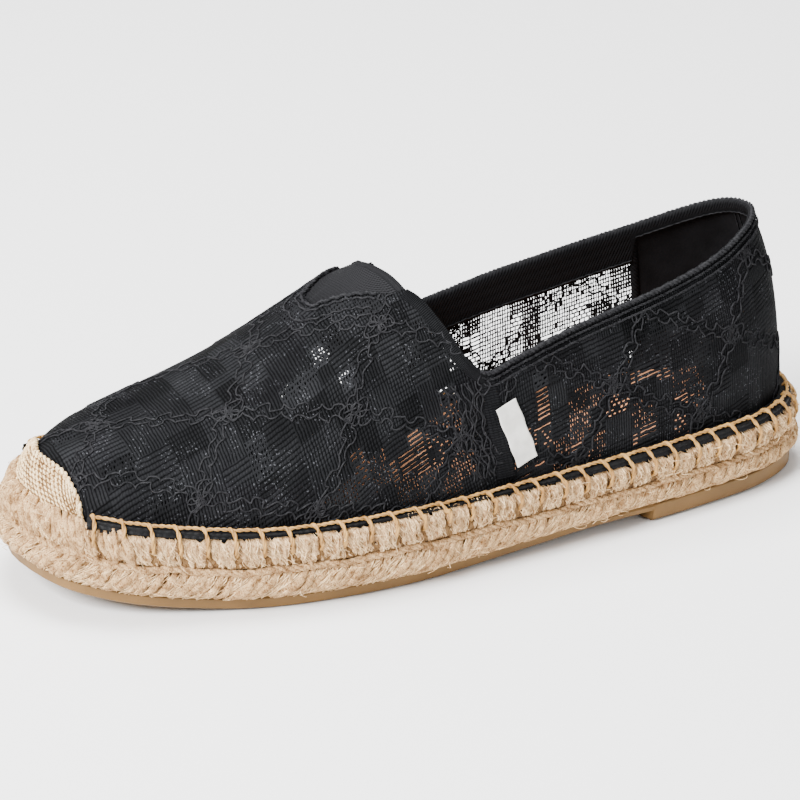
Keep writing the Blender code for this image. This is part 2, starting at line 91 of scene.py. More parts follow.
room = bpy.data.worlds.new("white_room")
room.use_nodes = True
room.node_tree.nodes["Background"].inputs["Color"].default_value = (1.0, 1.0, 1.0, 1.0)
room.node_tree.nodes["Background"].inputs["Strength"].default_value = ROOM_LIGHT
bpy.context.scene.world = room

# each light: name, place in metres, size in metres, power in watts
for light_name, light_place, light_size, light_power in (
        ("key_light", (0.45, -1.20, 1.05), 0.7, 88.0),
        ("top_light", (-0.30, -0.05, 1.45), 0.8, 46.0),
        ("heel_light", (1.10, 0.55, 0.60), 0.7, 5.0)):
    light_data = bpy.data.lights.new(light_name, "AREA")
    light_data.size = light_size
    light_data.energy = light_power
    light = placed(light_name, light_data)
    light.location = light_place
    aim(light, SUBJECT - light.location)


# ---------------------------------------------------------------------------
# Rubber sole and heel lift. One smooth sheet of natural gum rubber under the rope
# sole, with a second layer under the heel; matt, a little mottled, scuffed below.
def make_look(name, colour, roughness, sheen=0.0, gloss=0.3):
    look = bpy.data.materials.new(name)
    look.use_nodes = True
    shader = look.node_tree.nodes["Principled BSDF"]
    shader.inputs["Base Color"].default_value = (*colour, 1.0)
    shader.inputs["Roughness"].default_value = roughness
    shader.inputs["Specular IOR Level"].default_value = gloss
    shader.inputs["Sheen Weight"].default_value = sheen
    shader.inputs["Sheen Roughness"].default_value = 0.4
    return look


def add_node(look, kind, **sockets):
    node = look.node_tree.nodes.new(kind)
    for name, value in sockets.items():
        node.inputs[name.replace("_", " ")].default_value = value
    return node


def join(look, source, target):
    look.node_tree.links.new(source, target)


def where(look, stretch=(1000.0, 1000.0, 1000.0)):
    """Place on the shoe, scaled to millimetres or to a stretched grain."""
    coords = add_node(look, "ShaderNodeTexCoord")
    mapping = add_node(look, "ShaderNodeMapping")
    mapping.inputs["Scale"].default_value = stretch
    join(look, coords.outputs["Object"], mapping.inputs["Vector"])
    return mapping.outputs["Vector"]


def noise(look, vector, scale, detail=3.0, rough=0.55):
    node = add_node(look, "ShaderNodeTexNoise", Scale=scale, Detail=detail, Roughness=rough)
    join(look, vector, node.inputs["Vector"])
    return node.outputs["Fac"]


def tint(look, amount, dark, light, low=0.3, high=0.7):
    """A colour between two tints, read off a value."""
    ramp = add_node(look, "ShaderNodeValToRGB")
    ramp.color_ramp.elements[0].position = low
    ramp.color_ramp.elements[0].color = (*dark, 1.0)
    ramp.color_ramp.elements[1].position = high
    ramp.color_ramp.elements[1].color = (*light, 1.0)
    join(look, amount, ramp.inputs["Fac"])
    return ramp.outputs["Color"]


def multiply(look, first, second, share=1.0):
    mix = look.node_tree.nodes.new("ShaderNodeMix")
    mix.data_type = "RGBA"
    mix.blend_type = "MULTIPLY"
    mix.inputs["Factor"].default_value = share
    join(look, first, mix.inputs[6])
    join(look, second, mix.inputs[7])
    return mix.outputs[2]


def sums(look, operation, first, second=0.0):
    node = add_node(look, "ShaderNodeMath")
    node.operation = operation
    for socket, value in ((node.inputs[0], first), (node.inputs[1], second)):
        if isinstance(value, (int, float)):
            socket.default_value = value
        else:
            join(look, value, socket)
    return node.outputs["Value"]


def plus(look, first, second):
    return sums(look, "ADD", first, second)


def times(look, first, second):
    return sums(look, "MULTIPLY", first, second)


def colour_by(look, colour):
    join(look, colour, look.node_tree.nodes["Principled BSDF"].inputs["Base Color"])


def relief(look, height, depth, strength=1.0):
    """Bump of a depth in millimetres, stacked on any bump already there."""
    shader = look.node_tree.nodes["Principled BSDF"]
    bump = add_node(look, "ShaderNodeBump", Strength=strength, Distance=depth * MM)
    join(look, height, bump.inputs["Height"])
    if shader.inputs["Normal"].is_linked:
        join(look, shader.inputs["Normal"].links[0].from_socket, bump.inputs["Normal"])
    join(look, bump.outputs["Normal"], shader.inputs["Normal"])


def mottled(name, plain, dark, light, cloud, grains, stretch=(1000.0, 1000.0, 1000.0)):
    """A finish that drifts between two tints; grains: scale, detail, depth, strength."""
    look = make_look(name, *plain)
    place = where(look, stretch)
    for scale, detail, depth, strength in grains:
        relief(look, noise(look, place, scale, detail), depth, strength)
    colour_by(look, tint(look, noise(look, place, *cloud), dark, light))
    return look


def dress(look, *node_names):
    """Gives a finish to every slot of some of the plain solids."""
    for node_name in node_names:
        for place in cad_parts[node_name].material_slots:
            place.material = look


gum = mottled("gum_rubber_matt", ((0.30, 0.20, 0.09), 0.62, 0.0, 0.4), (0.118, 0.060, 0.0135),
              (0.180, 0.094, 0.0235), (0.05,), ((1.6, 3.0, 0.10, 0.5), (0.25, 3.0, 0.25, 0.4)))
dress(gum, "outsole", "heel_lift")


# ---------------------------------------------------------------------------
# The rope sole's shape. Stations run from the back of the heel to the toe on the
# 250 mm sample size; the outline and the levels are the ones the sole is cut to.
SOLE_LENGTH = 250.0
LENGTH_GRADE = 1.02
SPRING_START, SPRING_HEIGHT = 178.0, 10.3
HEEL_TIP, TOE_TIP = (0.0, -0.5), (250.0, -5.0)
ROPE_LEAN, FOOT_LEAN, LEAN_START, LEAN_END = 4.6, 3.5, 226.0, 244.0

# outline of the jute sole: station, outer half width, inner half width
OUTLINE = [
    (5.5, 15.0, 15.5), (20.0, 25.5, 25.5), (45.0, 32.0, 30.5), (80.0, 37.5, 30.5),
    (115.0, 42.0, 31.5), (150.0, 45.5, 38.5), (180.0, 43.5, 44.0), (205.0, 37.5, 43.5),
    (228.0, 29.5, 36.5), (243.0, 17.5, 24.5)]

# heights before toe spring: station, top of rubber, split of the courses, top of jute, seam
LEVELS = [
    (0.0, 6.0, 12.8, 19.6, 27.0), (62.0, 6.0, 12.8, 19.6, 27.0),
    (105.0, 5.1, 12.9, 20.8, 26.9), (142.0, 4.1, 13.0, 21.9, 26.6),
    (178.0, 4.1, 13.1, 22.0, 26.4), (250.0, 4.1, 13.0, 21.6, 26.2)]
RUBBER, COURSE, JUTE, SEAM = range(4)


def smooth_rows(rows, station, column):
    """One column of a table of stations, read through a monotone cubic curve."""
    table = np.array(rows, float)
    xs, ys = table[:, 0], table[:, column]
    steps = np.diff(xs)
    rises = np.diff(ys) / steps
    slopes = np.zeros(len(xs))
    same_way = rises[1:] * rises[:-1] > 0
    mean = 2 * rises[1:] * rises[:-1] / np.where(same_way, rises[1:] + rises[:-1], 1.0)
    slopes[1:-1] = np.where(same_way, mean, 0.0)
    slopes[0], slopes[-1] = rises[0], rises[-1]
    at = np.clip(np.asarray(station, float), xs[0], xs[-1])
    i = np.clip(np.searchsorted(xs, at, side="right") - 1, 0, len(xs) - 2)
    w = steps[i]
    t = (at - xs[i]) / w
    return ((1 + 2 * t) * (1 - t) ** 2 * ys[i] + t * (1 - t) ** 2 * w * slopes[i]
            + t * t * (3 - 2 * t) * ys[i + 1] + t * t * (t - 1) * w * slopes[i + 1])


def level(station, which, lift=0.0):
    """Height of a level of the sole at a station, with the toe's spring."""
    over = np.clip((np.asarray(station, float) - SPRING_START)
                   / (SOLE_LENGTH - SPRING_START), 0.0, None)
    return smooth_rows(LEVELS, station, which + 1) + SPRING_HEIGHT * over ** 2 + lift


def rounded_loop(points, steps):
    """Closed centripetal curve through the points."""
    ring = [np.array(p, float) for p in points]
    count = len(ring)
    out = []
    for i in range(count):
        p0, p1, p2, p3 = (ring[(i + n - 1) % count] for n in range(4))
        t1 = math.sqrt(np.linalg.norm(p1 - p0))
        t2 = t1 + math.sqrt(np.linalg.norm(p2 - p1))
        t3 = t2 + math.sqrt(np.linalg.norm(p3 - p2))
        for t in np.linspace(t1, t2, steps, endpoint=False):
            a1 = (t1 - t) / t1 * p0 + t / t1 * p1
            a2 = (t2 - t) / (t2 - t1) * p1 + (t - t1) / (t2 - t1) * p2
            a3 = (t3 - t) / (t3 - t2) * p2 + (t - t2) / (t3 - t2) * p3
            b1 = (t2 - t) / t2 * a1 + t / t2 * a2
            b2 = (t3 - t) / (t3 - t1) * a2 + (t - t1) / (t3 - t1) * a3
            out.append((t2 - t) / (t2 - t1) * b1 + (t - t1) / (t2 - t1) * b2)
    return np.array(out)


LOOP_STEPS = 24
loop_corners = [HEEL_TIP] + [(row[0], row[1]) for row in OUTLINE] + [TOE_TIP]
loop_corners += [(row[0], -row[2]) for row in reversed(OUTLINE)]
edge_loop = rounded_loop(loop_corners, LOOP_STEPS)
edge_along = np.roll(edge_loop, -1, 0) - np.roll(edge_loop, 1, 0)
edge_along /= np.linalg.norm(edge_along, axis=1)[:, None]
edge_out = np.stack([-edge_along[:, 1], edge_along[:, 0]], 1)
edge_middle = (edge_loop.max(0) + edge_loop.min(0))[1] / 2
edge_steps = np.linalg.norm((np.roll(edge_loop, -1, 0) - edge_loop)
                            * (LENGTH_GRADE, 1.0), axis=1)
EDGE_ROUND = float(edge_steps.sum())
edge_run = np.concatenate([[0.0], np.cumsum(edge_steps)])


def round_read(values, run):
    """Values given round the edge's loop, read at a run along it."""
    closed = np.concatenate([values, values[:1]])
    return np.interp(np.mod(run, EDGE_ROUND), edge_run, closed)


def sole_edge(run, inset):
    """Station and side of a point at a run round the sole's edge, moved inwards."""
    run = np.asarray(run, float)
    inset = np.asarray(inset, float)
    station = round_read(edge_loop[:, 0], run) - inset * round_read(edge_out[:, 0], run)
    side = (round_read(edge_loop[:, 1], run) - edge_middle
            - inset * round_read(edge_out[:, 1], run))
    return station, side


def edge_station(run):
    """Station of the sole's widest line at a run round it."""
    return sole_edge(run, 0.0)[0]


def ramp(value, start=0.0, length=1.0):
    """Rises from 0 at the start to 1 a length further on."""
    return np.clip((value - start) / length, 0.0, 1.0)


def at_toe(station):
    """Share of the toe's lean at a station of the sole's edge."""
    return ramp(station, LEAN_START, LEAN_END - LEAN_START)


def in_frame(station, side, height):
    """Points in millimetres in the shoe's own frame, from arrays."""
    station, side, height = np.broadcast_arrays(station, side, height)
    return np.stack([side, (SOLE_LENGTH / 2 - station) * LENGTH_GRADE, height], -1)


def station_of(points):
    """Stations of points that are in the shoe's own frame."""
    return SOLE_LENGTH / 2 - points[:, 1] / LENGTH_GRADE


def run_along(path):
    """Length along a path up to each of its points."""
    return np.concatenate([[0.0], np.cumsum(np.linalg.norm(np.diff(path, axis=0), axis=1))])


# ---------------------------------------------------------------------------
# The rope sole, lower course. A thick braid of jute whose strands show at the
# side as close slanted rolls, with loose fibre lying along them and a twisted yarn
# in the groove over it.
CORE_BULGE = [(3.0, 0.0), (1.2, 0.1), (0.3, 0.28), (0.0, 0.5), (0.3, 0.75), (1.1, 0.92),
              (2.2, 1.0)]
UPPER_BULGE = [(2.2, 0.0), (1.0, 0.1), (0.3, 0.3), (0.0, 0.5), (0.1, 0.75), (0.45, 0.92),
               (1.7, 1.0)]
BUNDLE_RISE = 1.3
STITCH_PITCH = 8.0
STITCHES = int(round(EDGE_ROUND / STITCH_PITCH))
BAY = EDGE_ROUND / STITCHES
draw = np.random.default_rng(21)


def course_point(run, share, course, proud):
    """A point on the side of a course; share 0 is its foot and 1 its top."""
    table = CORE_BULGE if course == "lower" else UPPER_BULGE
    insets, shares = zip(*table)
    up = ramp(share) * 0.5 + (0.0 if course == "lower" else 0.5)
    lean = ROPE_LEAN * ramp(up, 0.25, 0.75) * at_toe(edge_station(run))
    station, side = sole_edge(run, np.interp(share, shares, insets) - proud + lean)
    if course == "lower":
        low, high = level(station, RUBBER, 0.3), level(station, COURSE, -0.15)
    else:
        low, high = level(station, COURSE, 0.15), level(station, JUTE, BUNDLE_RISE)
    return in_frame(station, side, low + (high - low) * share)


def keep(piece, slot_name, *stands_for):
    """Every piece rides on the one body and hides the plain solids it stands for; slot_name is not
    used.
    """
    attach(piece, "root")
    if stands_for:
        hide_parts(*stands_for)
    return piece


def lay_cords(name, slot_name, paths, thickness, look, rounds=0, widths=None, closed=False):
    """Round cords or fibres along paths in millimetres, as one curve object."""
    data = bpy.data.curves.new(name, "CURVE")
    data.dimensions = "3D"
    data.bevel_depth = thickness / 2 * MM
    data.bevel_resolution = rounds
    data.use_fill_caps = not closed
    for number, path in enumerate(paths):
        path = np.asarray(path, float)
        spline = data.splines.new("POLY")
        spline.points.add(len(path) - 1)
        rows = np.ones((len(path), 4))
        rows[:, :3] = path * MM
        spline.points.foreach_set("co", rows.ravel())
        if widths is not None:
            spline.points.foreach_set("radius", np.asarray(widths[number], float))
        spline.use_cyclic_u = closed
    data.materials.append(look)
    return keep(placed(name, data), slot_name)


def twist(path, outward, radius, pitch, plies=2, start=0.0, flat=1.0):
    """Centre lines of the plies of a twisted thread along a path."""
    path = np.asarray(path, float)
    along = np.gradient(path, axis=0)
    along /= np.linalg.norm(along, axis=1)[:, None]
    outward = np.broadcast_to(np.asarray(outward, float), path.shape)
    outward = outward - (outward * along).sum(1)[:, None] * along
    outward = outward / np.linalg.norm(outward, axis=1)[:, None]
    across = np.cross(along, outward)
    run = run_along(path)
    radius = np.broadcast_to(np.asarray(radius, float), run.shape)[:, None]
    out = []
    for ply in range(plies):
        angle = (2 * math.pi * (run / pitch + ply / plies) + start)[:, None]
        out.append(path + radius * (np.cos(angle) * outward * flat + np.sin(angle) * across))
    return out


def jute_look(name, dark, light, fibre, streak_and_groove_shade=(0.32, 0.205, 0.115)):
    """Raw jute: straw with darker strands and fine fibre relief; the darker strands lie in the
    relief's grooves, partly grain and partly painted shade.
    """
    look = make_look(name, light, 0.88, 0.03, 0.12)
    place = where(look)
    cloud = noise(look, place, 0.42, 4.0)
    strand = noise(look, where(look, fibre), 1.0, 5.0, 0.65)
    base = tint(look, cloud, dark, light, 0.32, 0.58)
    # partly grain, partly painted shade: the colour darkens where the fibre relief is low
    grain_and_groove_shade = tint(look, strand, streak_and_groove_shade, (1.0, 1.0, 1.0), 0.38, 0.52)
    colour_by(look, multiply(look, base, grain_and_groove_shade, 0.95))
    relief(look, strand, 0.45, 1.0)
    return look


# painted shade: the rope's core under the strands is a much darker jute, so the gaps between
# strands read dark
jute_core_shade_look = jute_look("jute_core_painted_shade", (0.105, 0.052, 0.020), (0.25, 0.145, 0.062),
                           (2400.0, 2400.0, 700.0))
# painted shade: the strands are a darker copy of the loose fibres' jute, so the gaps between the
# lighter fibres look dark
jute_strand_shaded_look = jute_look("jute_strand_shaded", (0.27, 0.150, 0.063), (0.62, 0.405, 0.205),
                             (2600.0, 2600.0, 1500.0))
jute_fibre_look = jute_look("jute_fibre", (0.52, 0.325, 0.155), (0.97, 0.715, 0.415),
                            (1500.0, 1500.0, 1500.0), (0.55, 0.42, 0.30))
dress(jute_core_shade_look, "jute_sole_lower", "jute_sole_upper")

STRAND_PITCH = 2.9
STRAND_LEAN = 8.0
strand_paths, strand_widths = [], []
strands = int(round(EDGE_ROUND / STRAND_PITCH))
for number in range(strands):
    foot = number * EDGE_ROUND / strands + draw.uniform(-0.6, 0.6)
    lean = STRAND_LEAN + draw.uniform(-2.6, 2.6)
    share = np.linspace(-0.04, 1.02, 10)
    run = foot - lean * (share - 0.5) - 0.8 * np.sin(share * math.pi)
    proud = -0.60 + 0.45 * draw.uniform(-1, 1) + 0.6 * np.sin(ramp(share) * math.pi)
    strand_paths.append(course_point(run, share, "lower", proud))
    strand_widths.append((0.75 + 0.35 * np.sin(np.clip(share, 0.02, 0.98) * math.pi))
                         * draw.uniform(0.80, 1.15))
lay_cords("braid_strands", "jute_rope", strand_paths, 2.5, jute_strand_shaded_look, 2, strand_widths)

BRAID_FIBRES = 2600
FIBRE_POINTS = 6
fibre_rise = np.sin(np.linspace(0.0, math.pi, FIBRE_POINTS))
fibre_paths, fibre_widths = [], []
for number in range(BRAID_FIBRES):
    foot = draw.uniform(0, EDGE_ROUND)
    middle = draw.uniform(0.04, 0.96)
    reach = draw.uniform(0.15, 0.45)
    share = np.clip(middle + np.linspace(-reach, reach, FIBRE_POINTS), -0.10, 1.04)
    slope = STRAND_LEAN * draw.uniform(0.7, 1.6) + draw.normal(0, 1.8)
    run = foot - slope * (share - 0.5) + 0.40 * np.sin(share * 9 + draw.uniform(0, 6))
    proud = 0.55 + 0.55 * draw.uniform(0, 1) * fibre_rise - 0.55 * (1 - fibre_rise)
    fibre_paths.append(course_point(run, share, "lower", proud))
    fibre_widths.append(np.full(FIBRE_POINTS, draw.uniform(0.55, 1.25)))
lay_cords("braid_fibres", "jute_rope", fibre_paths, 0.28, jute_fibre_look, 0, fibre_widths)

yarn_run = np.arange(0.0, EDGE_ROUND, 1.0)
yarn_wave = 0.35 * np.sin(yarn_run / 5.1) + 0.25 * np.sin(yarn_run / 2.3)
yarn_lean = ROPE_LEAN / 3.0 * at_toe(edge_station(yarn_run))
yarn_station, yarn_side = sole_edge(yarn_run, 0.75 + yarn_lean)
yarn_middle = in_frame(yarn_station, yarn_side, level(yarn_station, COURSE, 0.1) + yarn_wave)
yarn_out = in_frame(*sole_edge(yarn_run, -1.0), 0.0) - in_frame(*sole_edge(yarn_run, 1.0), 0.0)
yarn_turns = round(EDGE_ROUND / 7.5)
yarn_plies = twist(yarn_middle, yarn_out, 0.62, EDGE_ROUND / yarn_turns, 3)
lay_cords("course_yarn", "jute_rope", yarn_plies, 1.35, jute_strand_shaded_look, 1, None, True)


# ---------------------------------------------------------------------------
# The rope sole, upper course. The binding thread pulls the rope into one soft
# bundle for each stitch; the bundle's fibres stand nearly upright and open out,
# and gaps are left where the thread goes in, darkened with painted shade.
def lay_out(name, work, surface, look):
    """Turns a flat bmesh into a piece whose points are laid on a surface."""
    mesh = bpy.data.meshes.new(name)
    work.to_mesh(mesh)
    work.free()
    flat = np.empty(len(mesh.vertices) * 3)
    mesh.vertices.foreach_get("co", flat)
    flat = flat.reshape(-1, 3)
    laid = np.asarray(surface(flat[:, 0], flat[:, 1]), float)
    mesh.vertices.foreach_set("co", (laid * MM).ravel())
    mesh.update()
    mesh.materials.append(look)
    return placed(name, mesh)


def mended(piece, change):
    """Opens a piece's mesh for a change and closes it again."""
    work = bmesh.new()
    work.from_mesh(piece.data)
    change(work)
    work.to_mesh(piece.data)
    work.free()


def weld(work):
    bmesh.ops.remove_doubles(work, verts=work.verts, dist=2e-6)


def laid_grid(name, columns, rows, surface, look, closed=False, uv_size=(1.0, 1.0)):
    """A grid laid on a surface, a function of two shares from 0 to 1."""
    work = bmesh.new()
    bmesh.ops.create_grid(work, x_segments=columns, y_segments=rows, size=0.5)
    bmesh.ops.translate(work, verts=work.verts, vec=(0.5, 0.5, 0.0))
    uv = work.loops.layers.uv.new("UVMap")
    for face in work.faces:
        face.smooth = True
        for corner in face.loops:
            corner[uv].uv = (corner.vert.co.x * uv_size[0], corner.vert.co.y * uv_size[1])
    piece = lay_out(name, work, surface, look)
    if closed:
        mended(piece, weld)
    return piece


def face_outwards(piece, outward_hint):
    """Turns the whole sheet over where its first faces look the wrong way."""
    mesh = piece.data
    votes = 0.0
    for face in list(mesh.polygons)[::max(1, len(mesh.polygons) // 200)]:
        votes += face.normal.dot(Vector(outward_hint(np.array(face.center) / MM)))
    if votes < 0:
        mesh.flip_normals()


def keep_sheet(piece, outward_hint, thickness, slot_name, *stands_for):
    """Turns a sheet outwards, thickens it inwards and keeps it."""
    face_outwards(piece, outward_hint)
    solid = piece.modifiers.new("thickness", "SOLIDIFY")
    solid.thickness = thickness * MM
    solid.offset = -1.0
    return keep(piece, slot_name, *stands_for)


def from_axis(point):
    """Rough outward direction from the long middle of the shoe."""
    return (point[0], point[1] * 0.3, point[2] - 30.0)


def side_only(point):
    return (point[0], point[1] * 0.2, 0.0)


lump_phase = draw.uniform(0, 2 * math.pi, (6,))


def bundle_lean(run):
    """Along the edge from a bundle's foot to its top: strong at the toe, none at the heel."""
    outer = np.where(np.mod(run, EDGE_ROUND) < EDGE_ROUND / 2, 1.0, -1.0)
    return outer * (1.0 + 6.0 * ramp(edge_station(run), 95.0, 70.0))


def crevice(run, share):
    """How deep the gap beside a stitch is, deepest where the thread goes in; it dents the bundles
    and is also painted on them as shade.
    """
    down = np.clip(0.50 - share, 0.0, None)
    bay = np.abs(np.sin(math.pi * (run + bundle_lean(run) * down) / BAY))
    wide = 0.16 + 0.20 * np.sin(run * 0.37 + lump_phase[5]) ** 2
    gap = ramp(1.0 - bay / wide)
    deep = np.exp(-((share - 0.44) / 0.13) ** 2)
    return gap * (0.45 * (share < 0.9) + 1.05 * deep + 0.35 * (share < 0.44))


def bundle_proud(run, share):
    """How far the bundles stand out; pinched at each stitch and ragged between."""
    bay = np.abs(np.sin(math.pi * run / BAY))
    belly = 0.9 * ramp(bay) ** 0.5
    reach = ramp(share, 0.02, 0.20) * ramp((1.10 - share) / 0.25)
    ragged = (0.30 * np.sin(run * 2.1 + lump_phase[0] + 4.0 * share)
              + 0.26 * np.sin(run * 3.7 + lump_phase[1] - 6.1 * share)
              + 0.24 * np.sin(run * 1.13 + lump_phase[2]) * np.sin(share * 9 + lump_phase[3])
              + 0.20 * np.sin(run * 6.1 + lump_phase[4] + 8.0 * share))
    return (belly + ragged - 2.2 * crevice(run, share)) * reach - 0.35


def top_edge(run):
    """The bundles' uneven top edge against the rand, as a share past their height."""
    return 1.0 + 0.05 * np.sin(run * 0.9 + 1.0) + 0.03 * np.sin(run * 1.9 + lump_phase[0])


def bundle_surface(a, b):
    run = a * EDGE_ROUND
    share = b * top_edge(run)
    return course_point(run, share, "upper", bundle_proud(run, share))


def painted(look, attribute):
    """A value painted on the mesh."""
    node = add_node(look, "ShaderNodeAttribute")
    node.attribute_name = attribute
    return node.outputs["Fac"]


# painted shade: the bundles' jute is a darker copy of the loose fibres', and goes nearly black in
# the gaps beside each stitch
bundle_shaded_look = jute_look("jute_bundle_shaded", (0.34, 0.195, 0.088), (0.66, 0.445, 0.240),
                     (2600.0, 2600.0, 1100.0))
pit_base = bundle_shaded_look.node_tree.nodes["Principled BSDF"].inputs["Base Color"].links[0].from_socket
colour_by(bundle_shaded_look, multiply(bundle_shaded_look, pit_base, tint(
    bundle_shaded_look, painted(bundle_shaded_look, "painted_pit_shade"), (1.0, 1.0, 1.0), (0.06, 0.030, 0.013), 0.12, 0.75)))
bundles = laid_grid("rope_bundles", 1300, 16, bundle_surface, bundle_shaded_look, closed=True)
places = np.empty(len(bundles.data.vertices) * 3)
bundles.data.vertices.foreach_get("co", places)
places = places.reshape(-1, 3) / MM
stations_here = station_of(places)
foot_here = level(stations_here, COURSE, 0.15)
shares_here = (places[:, 2] - foot_here) / (level(stations_here, JUTE, BUNDLE_RISE) - foot_here)
edge_plan = np.stack([(SOLE_LENGTH / 2 - edge_loop[:, 0]) * LENGTH_GRADE,
                      edge_loop[:, 1] - edge_middle], 1)
nearest = np.array([np.argmin(((edge_plan - (y, x)) ** 2).sum(1)) for x, y in places[:, :2]])
pit_shade_layer = bundles.data.attributes.new("painted_pit_shade", "FLOAT", "POINT")
pit_shade_layer.data.foreach_set("value", crevice(edge_run[nearest], shares_here))
face_outwards(bundles, side_only)
keep(bundles, "jute_rope")

BUNDLE_FIBRES = 2700
fibre_paths, fibre_widths = [], []
for number in range(BUNDLE_FIBRES):
    bay_number = draw.integers(0, STITCHES)
    across = np.clip(draw.normal(0.5, 0.24), 0.05, 0.95)
    foot = (bay_number + across) * BAY
    middle = draw.uniform(0.12, 0.90)
    reach = draw.uniform(0.10, 0.34)
    share = np.clip(middle + np.linspace(-reach, reach, FIBRE_POINTS), 0.02, 1.06)
    fan = (across - 0.5) * 2.6 + draw.normal(0, 2.4) + float(bundle_lean(foot)) * 0.8
    curl = draw.uniform(0.2, 0.9)
    run = foot + fan * (share - 0.5) + curl * np.sin(share * 11 + draw.uniform(0, 6))
    proud = bundle_proud(run, share) + 0.42 * draw.uniform(0.1, 1.0) * fibre_rise
    proud = proud - 0.20 * (1 - fibre_rise)
    fibre_paths.append(course_point(run, share, "upper", proud))
    fibre_widths.append(np.full(FIBRE_POINTS, draw.uniform(0.5, 1.2)))
lay_cords("bundle_fibres", "jute_rope", fibre_paths, 0.30, jute_fibre_look, 0, fibre_widths)

# thick loose strands over the bundles where the rope is drawn up round the toe
TOE_STRANDS = 46
strand_paths, strand_widths = [], []
toe_middle = EDGE_ROUND / 2
for number in range(TOE_STRANDS):
    foot = toe_middle + (number / (TOE_STRANDS - 1) - 0.5) * 92.0 + draw.uniform(-0.7, 0.7)
    share = np.linspace(-0.10, 1.10, 9)
    lean = draw.normal(3.5, 2.2) * (1.0 if foot < toe_middle else -1.0)
    run = foot + lean * (share - 0.5) + 0.6 * np.sin(share * 6 + draw.uniform(0, 6))
    proud = 0.15 + 0.5 * draw.uniform(-1, 1) + 0.5 * np.sin(ramp(share) * math.pi)
    strand_paths.append(course_point(run, share, "upper", proud))
    strand_widths.append((0.7 + 0.4 * np.sin(np.clip(share, 0.05, 0.95) * math.pi))
                         * draw.uniform(0.7, 1.2))
lay_cords("toe_strands", "jute_rope", strand_paths, 2.1, jute_strand_shaded_look, 1, strand_widths)


# ---------------------------------------------------------------------------
# Heel wall. Sole and lift are ground flush round the heel, so their joint hardly
# shows; the breast of the lift is rounded off.
LIFT_LENGTH, BREAST_TURN = 62.0, 5.0


def heel_wall_surface(a, b):
    """a runs round the heel from breast to breast, b from the ground up."""
    reach = a * 2.0 - 1.0
    turned = ramp(np.abs(reach), 0.955, 0.045)
    half = np.where(reach > 0, breast_run[1], breast_run[-1])
    run = np.sign(reach) * np.minimum(np.abs(reach) / 0.955, 1.0) * half
    top = level(edge_station(run), RUBBER, -0.15) * (1.0 - turned) + 2.6 * turned
    foot = 0.35
    inset = 1.05 + 0.9 * ramp(1.0 - b * 6.0) ** 2 + BREAST_TURN * turned ** 1.5
    station, side = sole_edge(run, inset)
    station = station + 1.6 * np.sin(turned * math.pi / 2) * (turned > 0)
    return in_frame(station, side, foot + (top - foot) * b)


breast_run = {}
for sign in (1, -1):
    round_runs = np.linspace(0.0, EDGE_ROUND / 3, 600) * sign
    passed = np.argmax(edge_station(round_runs) > LIFT_LENGTH - 1.0)
    breast_run[sign] = float(abs(round_runs[passed]))
heel_wall = laid_grid("heel_wall", 220, 8, heel_wall_surface, gum)
keep_sheet(heel_wall, side_only, 0.5, "gum_rubber")


# ---------------------------------------------------------------------------
# Footbed. Tan suede over foam, glued in on top of the rope; the nap is brushed
# unevenly and a little polished at the heel.
suede = mottled("footbed_suede", ((0.50, 0.25, 0.14), 0.85, 0.05, 0.15), (0.36, 0.155, 0.075),
                (0.55, 0.26, 0.135), (0.06, 4.0), ((2.4, 4.0, 0.12, 0.6),))
dress(suede, "insole")


# ---------------------------------------------------------------------------
# The last under the lace. The upper is pulled over it, so the lace, the linings,
# the cords and the trims all lie on this one surface.
UPPER_INSET, LAST_GAP = 5.0, 0.3
FEEL = 0.8
CREST_HEEL, CREST_TOE, THROAT_STATION = 38.0, 229.0, 142.0

# crest of the last: station, height, side offset, roundness of the section
CREST = [
    (38.0, 97.0, -0.5, 2.45), (70.0, 95.5, -0.5, 2.40), (100.0, 93.0, -0.5, 2.35),
    (130.0, 86.6, -0.5, 2.32), (141.0, 83.7, -0.5, 2.30), (150.0, 80.5, -1.0, 2.25),
    (159.0, 74.8, -1.5, 2.20), (171.0, 66.8, -2.0, 2.15), (184.0, 59.5, -2.5, 2.10),
    (196.0, 54.0, -3.0, 2.10), (209.0, 49.1, -3.5, 2.10), (220.0, 45.8, -4.0, 2.05),
    (229.0, 43.2, -4.5, 2.00)]

# collar line: station, height
COLLAR = [
    (0.0, 82.2), (15.0, 81.7), (22.0, 79.6), (30.0, 76.6), (40.0, 73.4), (53.0, 70.4),
    (67.0, 67.9), (89.0, 63.9), (107.0, 59.4), (115.0, 57.4), (121.0, 62.0), (127.0, 72.8),
    (132.0, 80.0), (137.0, 82.3), (142.0, 83.2)]

feather_inset = UPPER_INSET + FOOT_LEAN * at_toe(edge_loop[:, 0])
feather_ring = edge_loop - feather_inset[:, None] * edge_out
feather_ring[:, 1] -= edge_middle
half_ring = len(feather_ring) // 2
FEATHER = {"outer": feather_ring[half_ring::-1],
           "inner": np.concatenate([feather_ring[half_ring:], feather_ring[:1]])}


def feather(side, u):
    row = FEATHER[side]
    at = ramp(u) * (len(row) - 1)
    index = np.arange(len(row))
    return np.interp(at, index, row[:, 0]), np.interp(at, index, row[:, 1])


